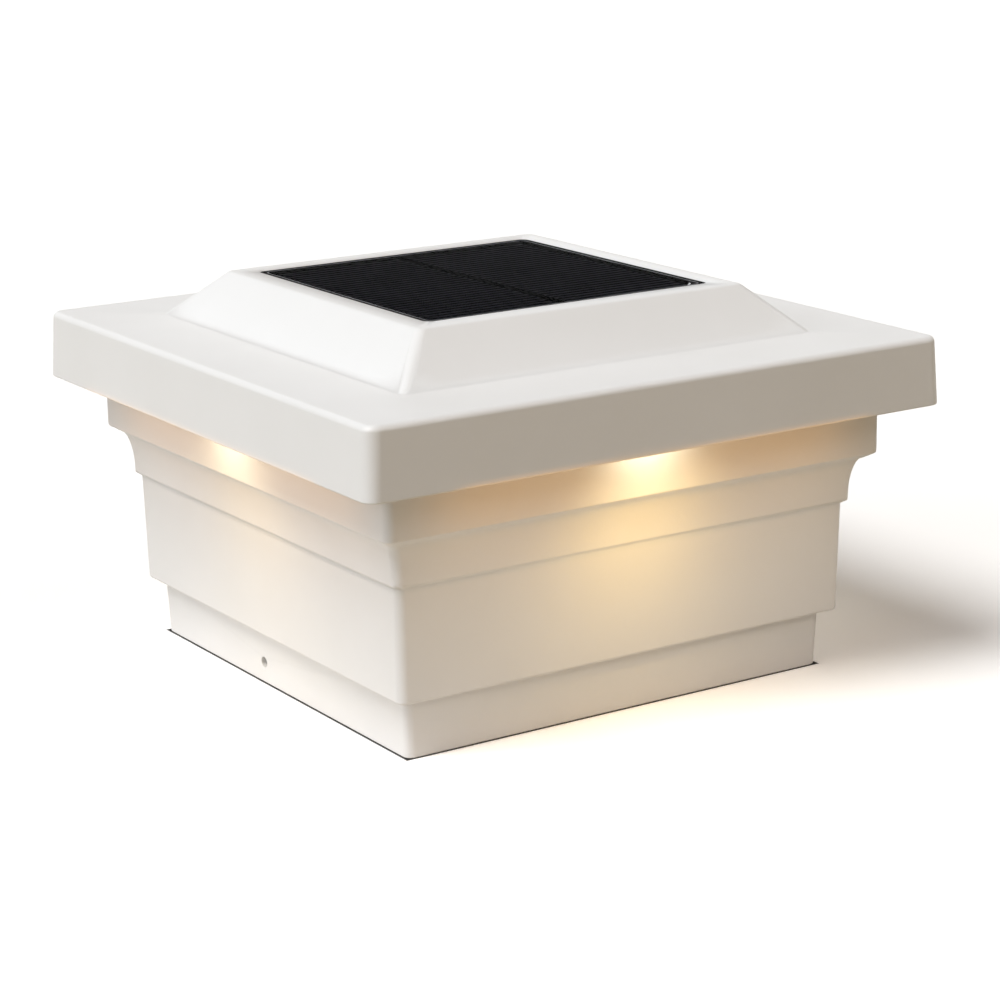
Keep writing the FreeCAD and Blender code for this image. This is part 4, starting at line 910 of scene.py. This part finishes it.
def makeWorld(look):
    world = bpy.data.worlds.new("studio")
    bpy.context.scene.world = world
    world.use_nodes = True
    tree = world.node_tree
    tree.nodes.clear()
    seen = isSeen(tree)
    direction = addNode(tree, "ShaderNodeTexCoord").outputs["Generated"]
    towards = addNode(tree, "ShaderNodeVectorMath", operation="DOT_PRODUCT")
    towards.inputs[1].default_value = look["warmSide"]
    tree.links.new(direction, towards.inputs[0])
    side = mapRange(tree, towards.outputs["Value"], 0.0, 1.0, look["warmSpan"])
    tint = blendColours(tree, side, (look["cool"], look["warm"]), fullSpan)
    white = addNode(tree, "ShaderNodeRGB")
    white.outputs[0].default_value = (1, 1, 1, 1)
    # The mix node takes colours at its inputs 6 and 7 and gives one at its output 2.
    chosen = addNode(tree, "ShaderNodeMix", data_type="RGBA")
    tree.links.new(seen, chosen.inputs["Factor"])
    tree.links.new(tint, chosen.inputs[6])
    tree.links.new(white.outputs[0], chosen.inputs[7])
    background = addNode(tree, "ShaderNodeBackground")
    tree.links.new(chosen.outputs[2], background.inputs["Color"])
    output = addNode(tree, "ShaderNodeOutputWorld")
    tree.links.new(background.outputs[0], output.inputs["Surface"])


sunLooks = {
    "key": {"strength": 2.0, "softness": 30, "turn": -90, "height": 58, "colour": (0.98, 0.98, 0.97)},
    "side": {"strength": 1.06, "softness": 45, "turn": -90, "height": 20, "colour": (0.87, 0.92, 1.0)},
    "fill": {"strength": 0.66, "softness": 45, "turn": 27, "height": 48, "colour": (1.0, 0.89, 0.81)},
}


# Places a light so that it shines one way and its own X axis lies along another.
def aimLight(light, towards, along, place=(0, 0, 0)):
    back = -Vector(towards).normalized()
    across = Vector(along).normalized()
    axes = Matrix((across, back.cross(across), back)).transposed()
    light.matrix_world = Matrix.Translation(place) @ axes.to_4x4()


def makeSun(name, look):
    data = bpy.data.lights.new(name, "SUN")
    data.energy = look["strength"]
    data.angle = math.radians(look["softness"])
    data.color = look["colour"]
    light = bpy.data.objects.new(name, data)
    bpy.context.scene.collection.objects.link(light)
    turn = math.radians(look["turn"])
    height = math.radians(look["height"])
    away = Vector((math.sin(turn) * math.cos(height), -math.cos(turn) * math.cos(height), math.sin(height)))
    aimLight(light, -away, (math.cos(turn), math.sin(turn), 0))


# On each side one light at the lens, one at the slab's edge that warms the band, and two
# further out for the light that spreads down the sleeve. Outside is from the slab's edge,
# and the shares dim a side's lights.
lampLooks = {
    "lens": {
        "power": 0.0043, "size": (0.014, 0.004), "colour": (1.0, 0.93, 0.7),
        "spread": 110, "tilt": 0, "outside": -0.0076, "level": 0.0862,
        "shares": {"right": 0.6},
    },
    "edge": {
        "power": 0.0033, "size": (0.13, 0.004), "colour": (1.0, 0.42, 0.03),
        "spread": 150, "tilt": 50, "outside": 0.0045, "level": 0.0745,
        "shares": {"right": 0.15},
    },
    "wash": {
        "power": 0.003, "size": (0.03, 0.006), "colour": (1.0, 0.66, 0.2),
        "spread": 80, "tilt": 52, "outside": 0.02, "level": 0.072,
        "shares": {"left": 0.4, "right": 0.15},
    },
    "spill": {
        "power": 0.0045, "size": (0.15, 0.01), "colour": (1.0, 0.88, 0.7),
        "spread": 90, "tilt": 60, "outside": 0.035, "level": 0.062,
        "shares": {"left": 0.0, "right": 0.15},
    },
}


def makeLampLight(side, kind, look, around):
    data = bpy.data.lights.new(f"{side}_{kind}", "AREA")
    data.shape = "RECTANGLE"
    data.size, data.size_y = look["size"]
    data.energy = look["power"] * look["shares"].get(side, 1)
    data.color = look["colour"]
    data.spread = math.radians(look["spread"])
    light = bpy.data.objects.new(data.name, data)
    light.visible_camera = False
    light.visible_glossy = False
    bpy.context.scene.collection.objects.link(light)
    tilt = math.radians(look["tilt"])
    outward = around @ Vector((0, -1, 0))
    towards = Vector((0, 0, -math.cos(tilt))) - outward * math.sin(tilt)
    place = outward * (cadHigh.x + look["outside"]) + Vector((0, 0, look["level"]))
    aimLight(light, towards, around @ Vector((1, 0, 0)), place)


def makeLampLights(looks):
    for side in sides:
        around = sideTurn(side).to_3x3()
        for kind, look in looks.items():
            makeLampLight(side, kind, look, around)


makeFloor(floorLook)
makeWorld(worldLook)
for kind, look in sunLooks.items():
    makeSun(f"{kind}Light", look)
makeLampLights(lampLooks)
bpy.context.scene.view_settings.view_transform = "Standard"
print("studio: floor, world and lights")
